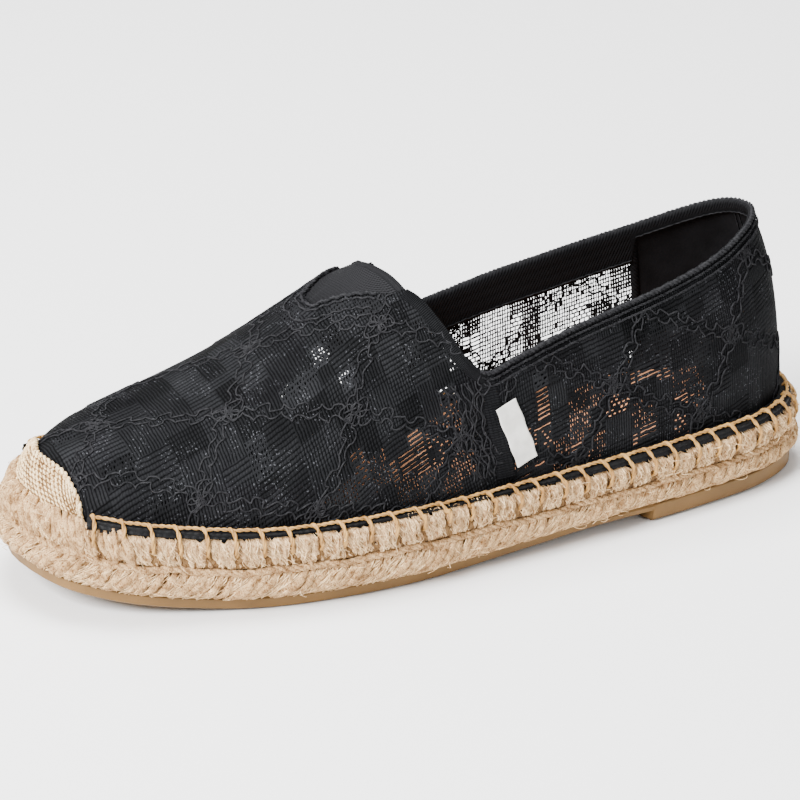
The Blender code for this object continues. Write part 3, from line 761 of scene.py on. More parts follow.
def last(side, u, k):
    """Station, side and height on the last; k is 0 at the foot and 1 on the crest."""
    u, k = np.broadcast_arrays(np.asarray(u, float), np.asarray(k, float))
    s0, x0 = feather(side, u)
    mean = (feather("outer", u)[0] + feather("inner", u)[0]) / 2
    toe, heel = FEATHER["outer"][0][0], FEATHER["outer"][-1][0]
    s1 = CREST_HEEL + (CREST_TOE - CREST_HEEL) * (mean - heel) / (toe - heel)
    top, x1, power = (smooth_rows(CREST, s1, column) for column in (1, 2, 3))
    foot = level(s0, JUTE, LAST_GAP)
    in_plan = ramp(np.cos(k * math.pi / 2)) ** (2 / power)
    climb = ramp(np.sin(k * math.pi / 2)) ** (2 / power)
    return s1 + (s0 - s1) * in_plan, x1 + (x0 - x1) * in_plan, foot + (top - foot) * climb


# Lace laid from the crest outwards: station lines against the girth from the crest.
GIRTH_STATIONS = np.arange(100.0, 246.6, 1.0)
GIRTHS = np.arange(0.0, 121.0, 1.0)
share_k = np.concatenate([np.linspace(0, 0.04, 12), np.linspace(0.045, 1.0, 150)])
girth_table = {}
for side in ("outer", "inner"):
    us = np.linspace(0.0, 0.75, 420)
    rows = last(side, us[:, None], share_k[None, :])
    by_station = np.empty((len(GIRTH_STATIONS), len(share_k), 2))
    for column in range(len(share_k)):
        order = np.argsort(rows[0][:, column])
        for axis in (0, 1):
            by_station[:, column, axis] = np.interp(
                GIRTH_STATIONS, rows[0][order, column], rows[axis + 1][order, column])
    front = np.argsort(rows[0][0])
    for i, station in enumerate(GIRTH_STATIONS):
        past = rows[0][0] < station
        for axis in (0, 1):
            on_middle = np.interp(station, rows[0][0][front], rows[axis + 1][0][front])
            by_station[i, past, axis] = on_middle
    table = np.empty((len(GIRTH_STATIONS), len(GIRTHS), 2))
    for i in range(len(GIRTH_STATIONS)):
        line = by_station[i, ::-1]
        run = run_along(line)
        run += np.arange(len(run)) * 1e-6
        for axis in (0, 1):
            inside = np.interp(GIRTHS, run, line[:, axis])
            slope = (0.35, -0.94)[axis] * (1.0 if side == "outer" or axis else -1.0)
            table[i, :, axis] = inside + np.clip(GIRTHS - run[-1], 0, None) * slope
    girth_table[side] = table


def read_table(table, rows, columns):
    rows = np.clip(rows, 0, table.shape[0] - 1.001)
    columns = np.clip(columns, 0, table.shape[1] - 1.001)
    i, j = rows.astype(int), columns.astype(int)
    a, b = (rows - i)[:, None], (columns - j)[:, None]
    return ((1 - a) * (1 - b) * table[i, j] + a * (1 - b) * table[i + 1, j]
            + (1 - a) * b * table[i, j + 1] + a * b * table[i + 1, j + 1])


def out_of(first, second, hint):
    """Unit normals of a surface from two ways along it, on the hint's side."""
    normal = np.cross(first, second)
    normal /= np.maximum(np.linalg.norm(normal, axis=1), 1e-9)[:, None]
    return normal * np.sign((normal * hint).sum(1))[:, None]


def off_surface(bare, first, second, depth, middle, way):
    """Points at a depth under a surface; way says which side of the middle is out."""
    first, second, depth = (np.asarray(v, float).ravel() for v in
                            np.broadcast_arrays(first, second, depth))
    point = bare(first, second)
    ahead = bare(first + FEEL, second) - bare(first - FEEL, second)
    across = bare(first, second + FEEL) - bare(first, second - FEEL)
    return point - out_of(ahead, across, (point - middle) * way) * depth[:, None]


def bare_vamp(station, girth):
    outer, inner = (read_table(girth_table[side], station - GIRTH_STATIONS[0], np.abs(girth))
                    for side in ("outer", "inner"))
    pair = np.where((girth > 0)[:, None], outer, inner)
    return in_frame(station, pair[:, 0], pair[:, 1])


def on_vamp(station, girth, depth=0.0):
    """Points of the lace over the forefoot; girth is signed, outer side positive."""
    return off_surface(bare_vamp, station, girth, depth, (0.0, 0.0, 25.0), (1.0, 0.0, 1.0))


# Lace laid round the heel: run along the foot of the wall, outer side positive,
# against the depth below the collar line.
WALL_RUNS, WALL_DEPTHS = np.arange(-160.0, 161.0, 1.0), np.arange(-3.0, 76.0, 1.0)
foot_run, foot_u = {}, np.linspace(1.0, 0.35, 400)
for side in ("outer", "inner"):
    s, x, _ = last(side, foot_u, 0.0)
    path = np.stack([s * LENGTH_GRADE, x], 1)
    foot_run[side] = run_along(path)
wall_table = np.empty((len(WALL_RUNS), len(WALL_DEPTHS), 3))
for i, run in enumerate(WALL_RUNS):
    side = "outer" if run >= 0 else "inner"
    u = np.interp(abs(run), foot_run[side], foot_u)
    ks = np.linspace(0.0, 0.999, 500)
    line = in_frame(*last(side, u, ks))
    station = station_of(line)
    over = line[:, 2] > smooth_rows(COLLAR, station, 1)
    top = int(np.argmax(over)) if over.any() else len(ks) - 1
    lengths = run_along(line)
    for axis in range(3):
        wall_table[i, :, axis] = np.interp(lengths[top] - WALL_DEPTHS, lengths, line[:, axis])
    lower = WALL_DEPTHS > lengths[top]
    wall_table[i, lower, 2] -= (WALL_DEPTHS[lower] - lengths[top])


def bare_wall(run, down):
    return read_table(wall_table, run - WALL_RUNS[0], down - WALL_DEPTHS[0])


def on_wall(run, down, depth=0.0):
    """Points of the lace round the back part, down from the collar line."""
    return off_surface(bare_wall, run, down, depth, (0.0, 40.0, 0.0), (1.0, 1.0, 0.0))


def wall_run_at(side_sign, station):
    """Run along the foot of the wall whose collar point is at a station."""
    runs = WALL_RUNS[WALL_RUNS * side_sign >= 0]
    tops = on_wall(runs, np.zeros(len(runs)))
    at = station_of(tops)
    order = np.argsort(at)
    return float(np.interp(station, at[order], runs[order]))


# ---------------------------------------------------------------------------
# Lace panels. A black lace in patchwork: blocks of close weave and ribs beside
# blocks of open net, cut as a vamp and one piece round the back, joined at the side
# seams. Open cells are real holes; the fine weave is relief, with painted shade in
# its valleys and painted glints on some blocks.
CELL_ALONG, CELL_ACROSS = 0.85, 1.40
LACE_THICK = 0.30
PLAIN, RIBS_ALONG, RIBS_ACROSS, DOTTED, NET, WIDE_NET, DRAWN = range(7)
HOLE_EDGES = {DOTTED: (0.31, 0.27), NET: (0.27, 0.12), WIDE_NET: (0.41, 0.16), DRAWN: (0.47, 0.18)}
UNEVEN = (0.88, 1.0, 1.14)
CLOSED_CELLS = (0.20, 0.05)
CELL_JITTER, SLACK_MOST = 0.075, 0.14


def sheet_place(look):
    """Place on the flat sheet: along it and across it."""
    uv = add_node(look, "ShaderNodeUVMap")
    parts = add_node(look, "ShaderNodeSeparateXYZ")
    join(look, uv.outputs["UV"], parts.inputs["Vector"])
    return parts.outputs["X"], parts.outputs["Y"]


def lace_look(name, dark, light, patchwork=True):
    """Black cotton lace: relief follows each block's own weave, read from the sheet; the colour is
    darkened in the relief's valleys as painted shade, and some blocks get painted glints.
    """
    look = make_look(name, light, 0.75, 0.0, 0.03)
    along, across = sheet_place(look)
    weave = painted(look, "weave")

    def ridges(value, pitch):
        wave = sums(look, "COSINE", times(look, value, math.pi / pitch))
        return sums(look, "POWER", sums(look, "ABSOLUTE", wave), 0.8)

    def only(kind, height):
        gate = sums(look, "COMPARE", weave, float(kind))
        gate.node.inputs[2].default_value = 0.4
        return times(look, gate, height)

    def blend(main, other, share):
        return times(look, main, plus(look, times(look, other, share), 1.0 - share))
    slip = times(look, noise(look, where(look, (260.0, 260.0, 260.0)), 1.0, 2.0), 0.45)
    threads = ridges(plus(look, along, slip), CELL_ALONG)
    ribs = ridges(plus(look, across, slip), CELL_ACROSS)
    height = blend(threads, ribs, 0.6)
    if patchwork:
        height = times(look, sums(look, "GREATER_THAN", weave, DOTTED - 0.5),
                       sums(look, "MAXIMUM", threads, ribs))
        for kind, part in ((RIBS_ALONG, blend(ribs, threads, 0.45)),
                           (RIBS_ACROSS, blend(threads, ribs, 0.30)),
                           (PLAIN, blend(threads, ribs, 0.75))):
            height = plus(look, height, only(kind, part))
    height = plus(look, height, times(look, noise(look, where(look), 2.1, 3.0), 0.45))
    relief(look, height, 0.30, 1.0)
    # painted shade: the cloth's colour darkens in the weave's low places, down to the valley shade
    valley_shade = (0.07, 0.07, 0.08) if patchwork else (0.42, 0.42, 0.44)
    shade = tint(look, height, valley_shade, (1.0, 1.0, 1.0), 0.30, 1.20)
    cloud = noise(look, where(look), 0.11, 3.0)
    cloth = multiply(look, tint(look, cloud, dark, light), shade)
    if not patchwork:
        colour_by(look, cloth)
        return look
    # painted highlight: bright specks clustered in some blocks stand for glints on the thread
    painted_glints = times(look, sums(look, "GREATER_THAN", noise(look, where(look), 1.7, 1.0), 0.66),
                   sums(look, "GREATER_THAN", noise(look, where(look), 0.13, 2.0), 0.52))
    scale = add_node(look, "ShaderNodeVectorMath")
    scale.operation = "SCALE"
    join(look, cloth, scale.inputs[0])
    join(look, plus(look, painted(look, "tone"), times(look, painted_glints, 5.0)), scale.inputs[3])
    colour_by(look, scale.outputs["Vector"])
    return look


lace = lace_look("black_lace", (0.0070, 0.0072, 0.0080), (0.0125, 0.0128, 0.0140))
lace_edge = lace_look("lace_edge", (0.0062, 0.0064, 0.0071), (0.0112, 0.0114, 0.0125), False)
SCATTERED_NET, DOTTED_SPOT = 0.13, 0.94


def block_kinds(a, b, seed, openness):
    """Patchwork of the lace: the weave and the tone of each place of the flat cloth."""
    mix = np.random.default_rng(seed)
    kinds, tones = np.zeros(len(a)), np.ones(len(a))
    edges = a.min() - mix.uniform(0.0, 6.0) + np.cumsum(mix.uniform(4.5, 10.5, 60))
    column = np.searchsorted(edges, a)
    for c in np.unique(column):
        own = column == c
        stops = b.min() - mix.uniform(0.0, 8.0) + np.cumsum(mix.uniform(4.0, 12.0, 80))
        row = np.searchsorted(stops, b[own])
        count = row.max() + 1
        heart = np.array([b[own][row == r].mean() if (row == r).any() else b[own].mean()
                          for r in range(count)])
        share = openness(np.full(count, a[own].mean()), heart)
        roll, pick = mix.random(count), mix.random(count)
        opened = np.select([pick < 0.28, pick < 0.60, pick < 0.78], [DOTTED, NET, WIDE_NET],
                           DRAWN)
        spotted = (share <= SCATTERED_NET) | ((share > DOTTED_SPOT) & (share < 1.0))
        opened = np.where(spotted, DOTTED, opened)
        shut = np.select([pick < 0.30, pick < 0.60], [RIBS_ALONG, RIBS_ACROSS], PLAIN)
        kinds[own] = np.where(roll < share, opened, shut)[row]
        tones[own] = mix.uniform(0.60, 1.40, count)[row]
    return kinds, tones


TRELLIS_LONG, TRELLIS_SHORT = np.array([31.5, -22.0]), np.array([13.5, 19.0])
DENSE_BY_CORD = 1.5


def near_cord(a, b, origin):
    """Whether a place of the flat cloth lies close beside a cord of the trellis."""
    whole = TRELLIS_LONG[0] * TRELLIS_SHORT[1] - TRELLIS_LONG[1] * TRELLIS_SHORT[0]
    da, db = a - origin[0], b - origin[1]
    i = (da * TRELLIS_SHORT[1] - db * TRELLIS_SHORT[0]) / whole
    j = (TRELLIS_LONG[0] * db - TRELLIS_LONG[1] * da) / whole
    off_long = np.abs(j - np.round(j)) * whole / np.linalg.norm(TRELLIS_LONG)
    off_short = np.abs(i - np.round(i)) * whole / np.linalg.norm(TRELLIS_SHORT)
    return np.minimum(off_long, off_short) < DENSE_BY_CORD


def lace_panel(name, a_range, b_range, inside, closed_zone, surface, seed, openness, axis,
               *stands_for):
    """Cuts a flat lace panel, opens its net cells, and lays it on the last.

    The net is looser on the inner side, where the axis (0 or 1) is below zero.
    """
    columns = int(round((a_range[1] - a_range[0]) / CELL_ALONG))
    rows = int(round((b_range[1] - b_range[0]) / CELL_ACROSS))
    work = bmesh.new()
    bmesh.ops.create_grid(work, x_segments=columns, y_segments=rows, size=0.5)
    bmesh.ops.translate(work, verts=work.verts, vec=(0.5, 0.5, 0.0))
    bmesh.ops.scale(work, verts=work.verts, vec=(columns * CELL_ALONG, rows * CELL_ACROSS, 1.0))
    bmesh.ops.translate(work, verts=work.verts, vec=(a_range[0], b_range[0], 0.0))
    centres = np.array([face.calc_center_median()[:2] for face in work.faces])
    kept = inside(centres[:, 0], centres[:, 1])
    bmesh.ops.delete(work, geom=[f for f, k in zip(work.faces, kept) if not k], context="FACES")
    centres = centres[kept]
    kinds, tones = block_kinds(centres[:, 0], centres[:, 1], seed, openness)
    shut = closed_zone(centres[:, 0], centres[:, 1]) & (kinds >= DOTTED)
    kinds = np.where(shut, RIBS_ALONG + kinds % 2, kinds)
    weave = work.faces.layers.float.new("weave")
    tone = work.faces.layers.float.new("tone")
    work.faces.ensure_lookup_table()
    for face, kind, shade in zip(work.faces, kinds, tones):
        face[weave] = float(kind)
        face[tone] = float(shade)
    joined = []
    for edge in work.edges:
        if len(edge.link_faces) != 2 or edge.link_faces[0][weave] != edge.link_faces[1][weave]:
            continue
        kind = edge.link_faces[0][weave]
        if kind < WIDE_NET or abs(edge.verts[0].co.x - edge.verts[1].co.x) > 0.01:
            continue
        column = int(round((edge.verts[0].co.x - a_range[0]) / CELL_ALONG))
        row = int(math.floor((min(v.co.y for v in edge.verts) - b_range[0]) / CELL_ACROSS + 0.5))
        if (kind == DRAWN and column % 11) or (kind == WIDE_NET and (column + row % 2) % 2):
            joined.append(edge)
    bmesh.ops.dissolve_edges(work, edges=joined, use_verts=False, use_face_split=False)
    loose_cell = np.random.default_rng(seed + 1)
    holes = [face for face in work.faces if face[weave] >= DOTTED and
             loose_cell.random() > CLOSED_CELLS[face.calc_center_median()[axis] < 0]]
    groups = loose_cell.integers(0, len(UNEVEN), len(holes))
    loose_side = [face.calc_center_median()[axis] < 0 for face in holes]
    for kind, widths in HOLE_EDGES.items():
        for group, more in enumerate(UNEVEN):
            for loosened, width in enumerate(widths):
                cells = [hole for hole, g, far in zip(holes, groups, loose_side)
                         if g == group and far == loosened and hole[weave] == kind]
                bmesh.ops.inset_individual(work, faces=cells, thickness=width * more,
                                           use_even_offset=True)
    bmesh.ops.delete(work, geom=holes, context="FACES_ONLY")
    loose = [vert for vert in work.verts if not vert.link_faces]
    bmesh.ops.delete(work, geom=loose, context="VERTS")
    uv = work.loops.layers.uv.new("UVMap")
    for face in work.faces:
        face.smooth = True
        for corner in face.loops:
            corner[uv].uv = corner.vert.co.xy - Vector((a_range[0], b_range[0]))

    def uneven(a, b):
        slack = loose_cell.normal(0.0, CELL_JITTER, (len(a), 2)).clip(-SLACK_MOST, SLACK_MOST)
        return surface(a + slack[:, 0], b + slack[:, 1])
    return keep_sheet(lay_out(name, work, uneven, lace), from_axis, LACE_THICK, "lace_black",
                      *stands_for)


SEAM_TOP, SEAM_FOOT = 116.5, 111.0
GORE_TOP, GORE_POINT = (15.5, 138.0), (3.6, 157.2)
gore_middle = float(smooth_rows(CREST, 148.0, 2))
gore_lean = (GORE_TOP[0] - GORE_POINT[0]) / (GORE_POINT[1] - GORE_TOP[1])
VAMP_LINED, HEEL_LINED_RUN = 182.0, 47.0
INNER_CUT = 2.3
VAMP_TOE, CAP_HIDES_FROM = 244.5, 236.0
ROPE_CLEAR = 0.8
DENSE_EDGE, DENSE_SEAM, HEEL_DENSE_BELOW = 3.0, 8.0, 30.0


def seam_station(height):
    return SEAM_FOOT + (SEAM_TOP - SEAM_FOOT) * ramp(height, 26.0, 32.0)


def throat_height(station, outer):
    """Height of the opening's edge; the lace of the inner side is cut a little lower."""
    inner_cut = INNER_CUT * ramp(station, 121.0, 6.0)
    return smooth_rows(COLLAR, station, 1) - np.where(outer, 0.0, inner_cut)


def in_vamp(a, b):
    """Whether places of the flat vamp fall inside its seams, foot and throat."""
    points = on_vamp(a, b)
    x, z = points[:, 0], points[:, 2]
    offset = np.abs(x - gore_middle)
    half = np.minimum(GORE_TOP[0], GORE_POINT[0] + gore_lean * (GORE_POINT[1] - a))
    in_gore = (offset < half) & (a < GORE_POINT[1])
    foot_ok = z > level(a, JUTE, ROPE_CLEAR)
    collar_ok = (z < throat_height(a, b > 0) + 0.2) | (a > THROAT_STATION)
    return foot_ok & collar_ok & ~in_gore & (a > seam_station(z) - 2.0) & (a < VAMP_TOE)


FAN_BACK, FAN_TURN, FAN_STATION = 0.0016, 0.0032, 150.0
VAMP_ORIGIN, QUARTER_ORIGIN = (189.0, 20.5), (38.0, 24.0)

# see-through places of the vamp: station, girth, reach each way, share left open
SEE_THROUGH = [
    (133.0, 67.0, 16.0, 16.0, 0.80), (156.0, 62.0, 10.0, 9.0, 0.72),
    (170.0, 24.0, 4.0, 3.5, 0.95), (163.0, 24.0, 3.5, 3.5, 0.95), (140.0, 38.0, 5.0, 5.0, 0.95),
    (148.0, -60.0, 16.0, 14.0, 0.80), (120.0, -62.0, 14.0, 16.0, 0.80)]


def fanned(a, b):
    """The vamp's cloth fans out a little as it is pulled over the toe."""
    return a - FAN_BACK * b * b, b * (1.0 + FAN_TURN * (a - FAN_STATION))


def vamp_openness(a, b):
    station, girth = fanned(a, b)
    share = np.full(len(a), SCATTERED_NET)
    for middle, across, long_reach, wide_reach, much in SEE_THROUGH:
        near = ((station - middle) / long_reach) ** 2 + ((girth - across) / wide_reach) ** 2 < 1.0
        share = np.where(near, np.maximum(share, much), share)
    return share


def vamp_closed(a, b):
    station, girth = fanned(a, b)
    points = on_vamp(station, girth)
    edge = throat_height(station, girth > 0) - points[:, 2] < DENSE_EDGE
    seam = station < seam_station(points[:, 2]) + DENSE_SEAM
    return ((station > CAP_HIDES_FROM) | (edge & (station < THROAT_STATION)) | seam
            | near_cord(station, girth, VAMP_ORIGIN))


lace_panel("lace_vamp", (106.0, 266.0), (-121.8, 121.8), lambda a, b: in_vamp(*fanned(a, b)),
           vamp_closed, lambda a, b: on_vamp(*fanned(a, b)), 5, vamp_openness, 1, "upper")

SEAM_RUN = {1: wall_run_at(1, 117.5), -1: wall_run_at(-1, 117.5)}


def in_quarter(a, b):
    """Whether places of the flat quarters fall behind the side seams, over the rope."""
    points = on_wall(a, b)
    station = station_of(points)
    return ((station < seam_station(points[:, 2]) + 1.5)
            & (points[:, 2] > level(station, JUTE, ROPE_CLEAR)))


def quarter_openness(a, b):
    share = np.where(a > 0, np.clip((b - 5.0) / 8.0, 0.15, 0.66), 1.0)
    return np.where(np.abs(a) < HEEL_LINED_RUN, SCATTERED_NET, share)


def quarter_closed(a, b):
    hidden = (np.abs(a) < HEEL_LINED_RUN) & (b > HEEL_DENSE_BELOW)
    return hidden | (b < 2.8) | (near_cord(a, b, QUARTER_ORIGIN) & (a > 0))


lace_panel("lace_quarters", (-150.0, 150.0), (0.0, 70.0), in_quarter, quarter_closed,
           lambda a, b: on_wall(a, b, 0.35), 11, quarter_openness, 0)


# ---------------------------------------------------------------------------
# Raised cords on the lace. Pairs of crinkled gimp run in a diamond trellis over the
# cloth and meet in five-looped flowers; each cord is couched on with fine thread.
gimp = mottled("lace_gimp", ((0.014, 0.014, 0.015), 0.75, 0.0, 0.04), (0.007, 0.007, 0.008),
               (0.027, 0.027, 0.029), (0.8,), ((2.6, 4.0, 0.18, 0.9),))
CORD_WIDE = 0.56
CRINKLE_STEP = 0.50
CORD_REACH = 40.0


def crinkled_pair(start, end, seed):
    """Two crinkled cords along a straight line of the flat cloth."""
    mix = np.random.default_rng(seed)
    start, end = np.array(start, float), np.array(end, float)
    length = float(np.linalg.norm(end - start))
    count = max(int(length / CRINKLE_STEP), 6)
    t = np.linspace(0.0, 1.0, count)
    along = (end - start) / length
    across = np.array([-along[1], along[0]])
    bow = 1.6 * mix.uniform(-1, 1) * np.sin(t * math.pi)
    paths = []
    for way in (-1.0, 1.0):
        phase = mix.uniform(0, 2 * math.pi, 4)
        run = t * length
        swing = (way * 1.25 + bow + 0.80 * np.sin(2 * math.pi * run / 5.7 + phase[0])
                 + 0.22 * np.sin(2 * math.pi * run / 2.9 + phase[1])
                 + 0.50 * np.sin(2 * math.pi * run / 10.9 + phase[2]))
        slide = 0.62 * np.sin(2 * math.pi * run / 3.9 + phase[3])
        paths.append(start + along * (run + slide)[:, None] + across * swing[:, None])
    return paths


def flower(centre, seed):
    """One cord laid in five loops round a centre."""
    mix = np.random.default_rng(seed)
    turned = mix.uniform(0, 2 * math.pi)
    rings = []
    for petal, size in enumerate((2.3, 1.2, 1.9, 1.1, 1.6)):
        heading = turned + petal * 2 * math.pi / 5 + mix.uniform(-0.3, 0.3)
        middle = np.array(centre) + (size + 0.3) * np.array([math.cos(heading),
                                                             math.sin(heading)])
        angle = np.linspace(heading - math.pi, heading + math.pi, 22)
        radius = size * (1.0 + 0.14 * np.sin(3 * angle + turned))
        rings.append(middle + radius[:, None] * np.stack([np.cos(angle), np.sin(angle)], 1))
    return np.concatenate(rings)


def trellis(surface, inside, long_range, wide_range, origin, seed):
    """All cords and flowers of one panel's trellis that fall inside it."""
    drawn = []
    for i in range(-8, 9):
        for j in range(-12, 13):
            node = np.array(origin) + i * TRELLIS_LONG + j * TRELLIS_SHORT
            off = max(long_range[0] - node[0], node[0] - long_range[1],
                      wide_range[0] - node[1], node[1] - wide_range[1])
            if off > CORD_REACH:
                continue
            mark = seed + (i + 40) * 977 + (j + 40) * 31
            drawn.append(flower(node, mark))
            for step, way in enumerate((TRELLIS_LONG, TRELLIS_SHORT)):
                drawn += crinkled_pair(node, node + way, mark + step + 7)
    paths = []
    for flat in drawn:
        within = inside(flat[:, 0], flat[:, 1])
        within &= (flat[:, 0] > long_range[0]) & (flat[:, 0] < long_range[1])
        within &= (flat[:, 1] > wide_range[0]) & (flat[:, 1] < wide_range[1])
        cuts = np.nonzero(np.diff(within.astype(int)))[0] + 1
        for part in np.split(np.arange(len(flat)), cuts):
            if len(part) > 4 and within[part[0]]:
                paths.append(surface(flat[part, 0], flat[part, 1]))
    return paths


vamp_cords = trellis(lambda a, b: on_vamp(a, b, -0.20), in_vamp, (112.0, 244.0), (-90.0, 90.0),
                     VAMP_ORIGIN, 100)
lay_cords("vamp_gimp", "lace_black", vamp_cords, CORD_WIDE, gimp)
quarter_cords = trellis(lambda a, b: on_wall(a, b, 0.10), in_quarter, (-150.0, 150.0),
                        (3.0, 70.0), QUARTER_ORIGIN, 300)
lay_cords("quarter_gimp", "lace_black", quarter_cords, CORD_WIDE, gimp)


# ---------------------------------------------------------------------------
# Linings. Black drill behind the toe and round the heel, under the lace, cut off
# where it would run down into the rope.
lining = mottled("black_lining", ((0.004, 0.004, 0.0045), 0.85, 0.0, 0.08),
                 (0.0035, 0.0035, 0.004), (0.0065, 0.0065, 0.0075), (0.15,),
                 ((1.8, 4.0, 0.15, 0.7),), (900.0, 900.0, 900.0))


def toe_lining_surface(a, b):
    station = VAMP_LINED - 2.0 + a * (244.0 - VAMP_LINED)
    return on_vamp(station, (b - 0.5) * 150.0, 0.62)


def above_rope(piece):
    """Cuts a sheet off where it would run down into the rope."""
    def cut(work):
        centres = np.array([face.calc_center_median() for face in work.faces]) / MM
        good = centres[:, 2] > level(station_of(centres), JUTE, 0.6)
        gone = [face for face, stays in zip(work.faces, good) if not stays]
        bmesh.ops.delete(work, geom=gone, context="FACES")
    mended(piece, cut)
    return piece


toe_lining = above_rope(laid_grid("toe_lining", 34, 90, toe_lining_surface, lining))
face_outwards(toe_lining, from_axis)
keep(toe_lining, "lace_black")


def heel_lining_surface(a, b):
    run = (a - 0.5) * 2 * HEEL_LINED_RUN
    return on_wall(run, b * 62.0 + 0.3, 0.85)


heel_lining = above_rope(laid_grid("heel_lining", 90, 30, heel_lining_surface, lining))
face_outwards(heel_lining, from_axis)
keep(heel_lining, "lace_black")


# ---------------------------------------------------------------------------
# Elastic gore. A wedge of ribbed black elastic let into the throat under the lace,
# its top edge folded; the ribs run across it.
def ribbed_look(name, pitch_along, pitch_across, slope, dark, light, depth):
    """Woven black: ribs one way crossed by threads the other, read from the sheet; the colour
    darkens in the ribs' valleys as painted shade.
    """
    look = make_look(name, light, 0.75, 0.0, 0.04)
    along, across = sheet_place(look)

    def ridge(value, pitch):
        wave = sums(look, "SINE", times(look, value, math.pi / pitch))
        return sums(look, "ABSOLUTE", wave)
    slant = plus(look, along, times(look, across, slope))
    height = plus(look, ridge(slant, pitch_along), times(look, ridge(across, pitch_across), 0.35))
    relief(look, height, depth, 1.0)
    # painted shade: the colour follows the relief, dark in the valleys
    colour_by(look, tint(look, height, dark, light, 0.08, 1.1))
    return look


elastic = ribbed_look("ribbed_elastic", 0.80, 0.75, 0.0, (0.0035, 0.0035, 0.004),
                      (0.0165, 0.0165, 0.018), 0.22)
GORE_RIBS = 24
GORE_SIZE = (31.0, 19.0)


def halved(low, high, turns, falls_short):
    """Halves spans, turn by turn, down to where a test stops falling short."""
    for _ in range(turns):
        middle = (low + high) / 2
        short = falls_short(middle)
        low, high = np.where(short, middle, low), np.where(short, high, middle)
    return (low + high) / 2


def edge_curve(sign):
    """Girths of the throat's side edge, from the side seam up to the gore's corner."""
    stations = np.linspace(116.0, THROAT_STATION - 0.6, 70)
    edge = throat_height(stations, sign > 0)
    return stations, sign * halved(np.zeros(70), np.full(70, 110.0), 26,
                                   lambda girth: on_vamp(stations, sign * girth)[:, 2] > edge)


throat = {sign: edge_curve(sign) for sign in (1.0, -1.0)}
throat_offset = {sign: np.abs(on_vamp(*throat[sign])[:, 0] - gore_middle) for sign in throat}


# the elastic's top edge, stretched between the two corners: offset from the middle, station
GORE_EDGE = [(-16.7, 132.3), (-12.0, 136.4), (-8.0, 138.6), (-4.0, 139.2), (0.0, 138.6),
             (4.0, 137.4), (8.0, 136.1), (12.0, 135.0), (16.7, 133.8)]


def gore_top(offset):
    return np.interp(offset, *zip(*GORE_EDGE))


def girth_at(station, offset):
    """Girth of the vamp's point at a station and an offset from the gore's middle."""
    sign = np.where(offset > 0, 1.0, -1.0)

    def nearer(girth):
        return (on_vamp(station, sign * girth)[:, 0] - gore_middle - offset) * sign < 0
    return sign * halved(np.zeros(len(offset)), np.full(len(offset), 60.0), 24, nearer)


def gore_surface(a, b):
    """a runs across the wedge and b from the throat edge to the blunt point."""
    across = (a - 0.5) * 2.0
    start = gore_top(across * (GORE_TOP[0] + 1.2))
    station = start + (GORE_POINT[1] + 0.6 - start) * b
    half = np.minimum(GORE_TOP[0], GORE_POINT[0] + gore_lean * (GORE_POINT[1] - station)) + 1.2
    rib = 0.16 * np.abs(np.sin(math.pi * GORE_RIBS * b))
    return on_vamp(station, girth_at(station, across * half), 0.55 - rib)


gore = laid_grid("ribbed_gore", 26, 96, gore_surface, elastic, uv_size=GORE_SIZE)
keep_sheet(gore, from_axis, 0.8, "elastic_black", "elastic_gore")


# ---------------------------------------------------------------------------
# Edges of the upper. The lace is folded and stitched along the throat and the gore,
# the side seam is an overlapped strip, and the back opening has a twisted cord edge
# over the tape that faces it inside.
BINDING_RUNS = np.linspace(SEAM_RUN[-1], SEAM_RUN[1], 360)
FACING_WIDE, FACING_HEEL = 12.0, 3.2
facing_roll = [(0.0, 0.9, 0.15), (0.04, -0.6, -0.05), (0.08, -1.35, 0.35), (0.13, -1.3, 1.15),
               (0.20, -0.3, 1.65), (0.30, 1.2, 1.75), (0.90, 11.4, 1.75), (1.0, 12.0, 1.35)]


def facing_surface(a, b):
    """The tape rolled over the edge and laid down inside; b runs from outside to inside.

    Round the heel the lining comes up to the edge and only a narrow fold of tape shows.
    """
    shares, downs, depths = zip(*facing_roll)
    run = SEAM_RUN[-1] + a * (SEAM_RUN[1] - SEAM_RUN[-1])
    wavy = 0.12 * np.sin(run * 1.3) + 0.10 * np.sin(run * 3.1)
    beyond = ramp(np.abs(run), HEEL_LINED_RUN - 1.0, 2.0)
    width = FACING_HEEL + (FACING_WIDE - FACING_HEEL) * beyond
    down = np.interp(b, shares, downs)
    down = np.where(down > 1.2, 1.2 + (down - 1.2) * (width - 1.2) / (FACING_WIDE - 1.2), down)
    return on_wall(run, down + wavy, np.interp(b, shares, depths))


twill = ribbed_look("facing_twill", 1.15, 2.4, 0.8, (0.0022, 0.0022, 0.0026),
                    (0.0085, 0.0085, 0.0094), 0.16)


def into_shoe(point):
    return (-point[0], 40.0 - point[1], 0.0)


facing = laid_grid("inside_facing", 300, 24, facing_surface, twill,
                   uv_size=(SEAM_RUN[1] - SEAM_RUN[-1], FACING_WIDE))
keep_sheet(facing, into_shoe, 0.4, "tape_black", "collar_binding")

facing_sewn = []
for first, final, down in ((SEAM_RUN[-1], -HEEL_LINED_RUN - 1.0, 10.9),
                           (-HEEL_LINED_RUN + 1.0, HEEL_LINED_RUN - 1.0, 2.5),
                           (HEEL_LINED_RUN + 1.0, SEAM_RUN[1], 10.9)):
    sewn_runs = np.arange(first, final, 0.7)
    sewn_depth = 1.95 + 0.12 * np.sin(sewn_runs * 2.4)
    facing_sewn.append(on_wall(sewn_runs, down, sewn_depth))
lay_cords("facing_stitch", "tape_black", facing_sewn, 0.42, gimp, 0)

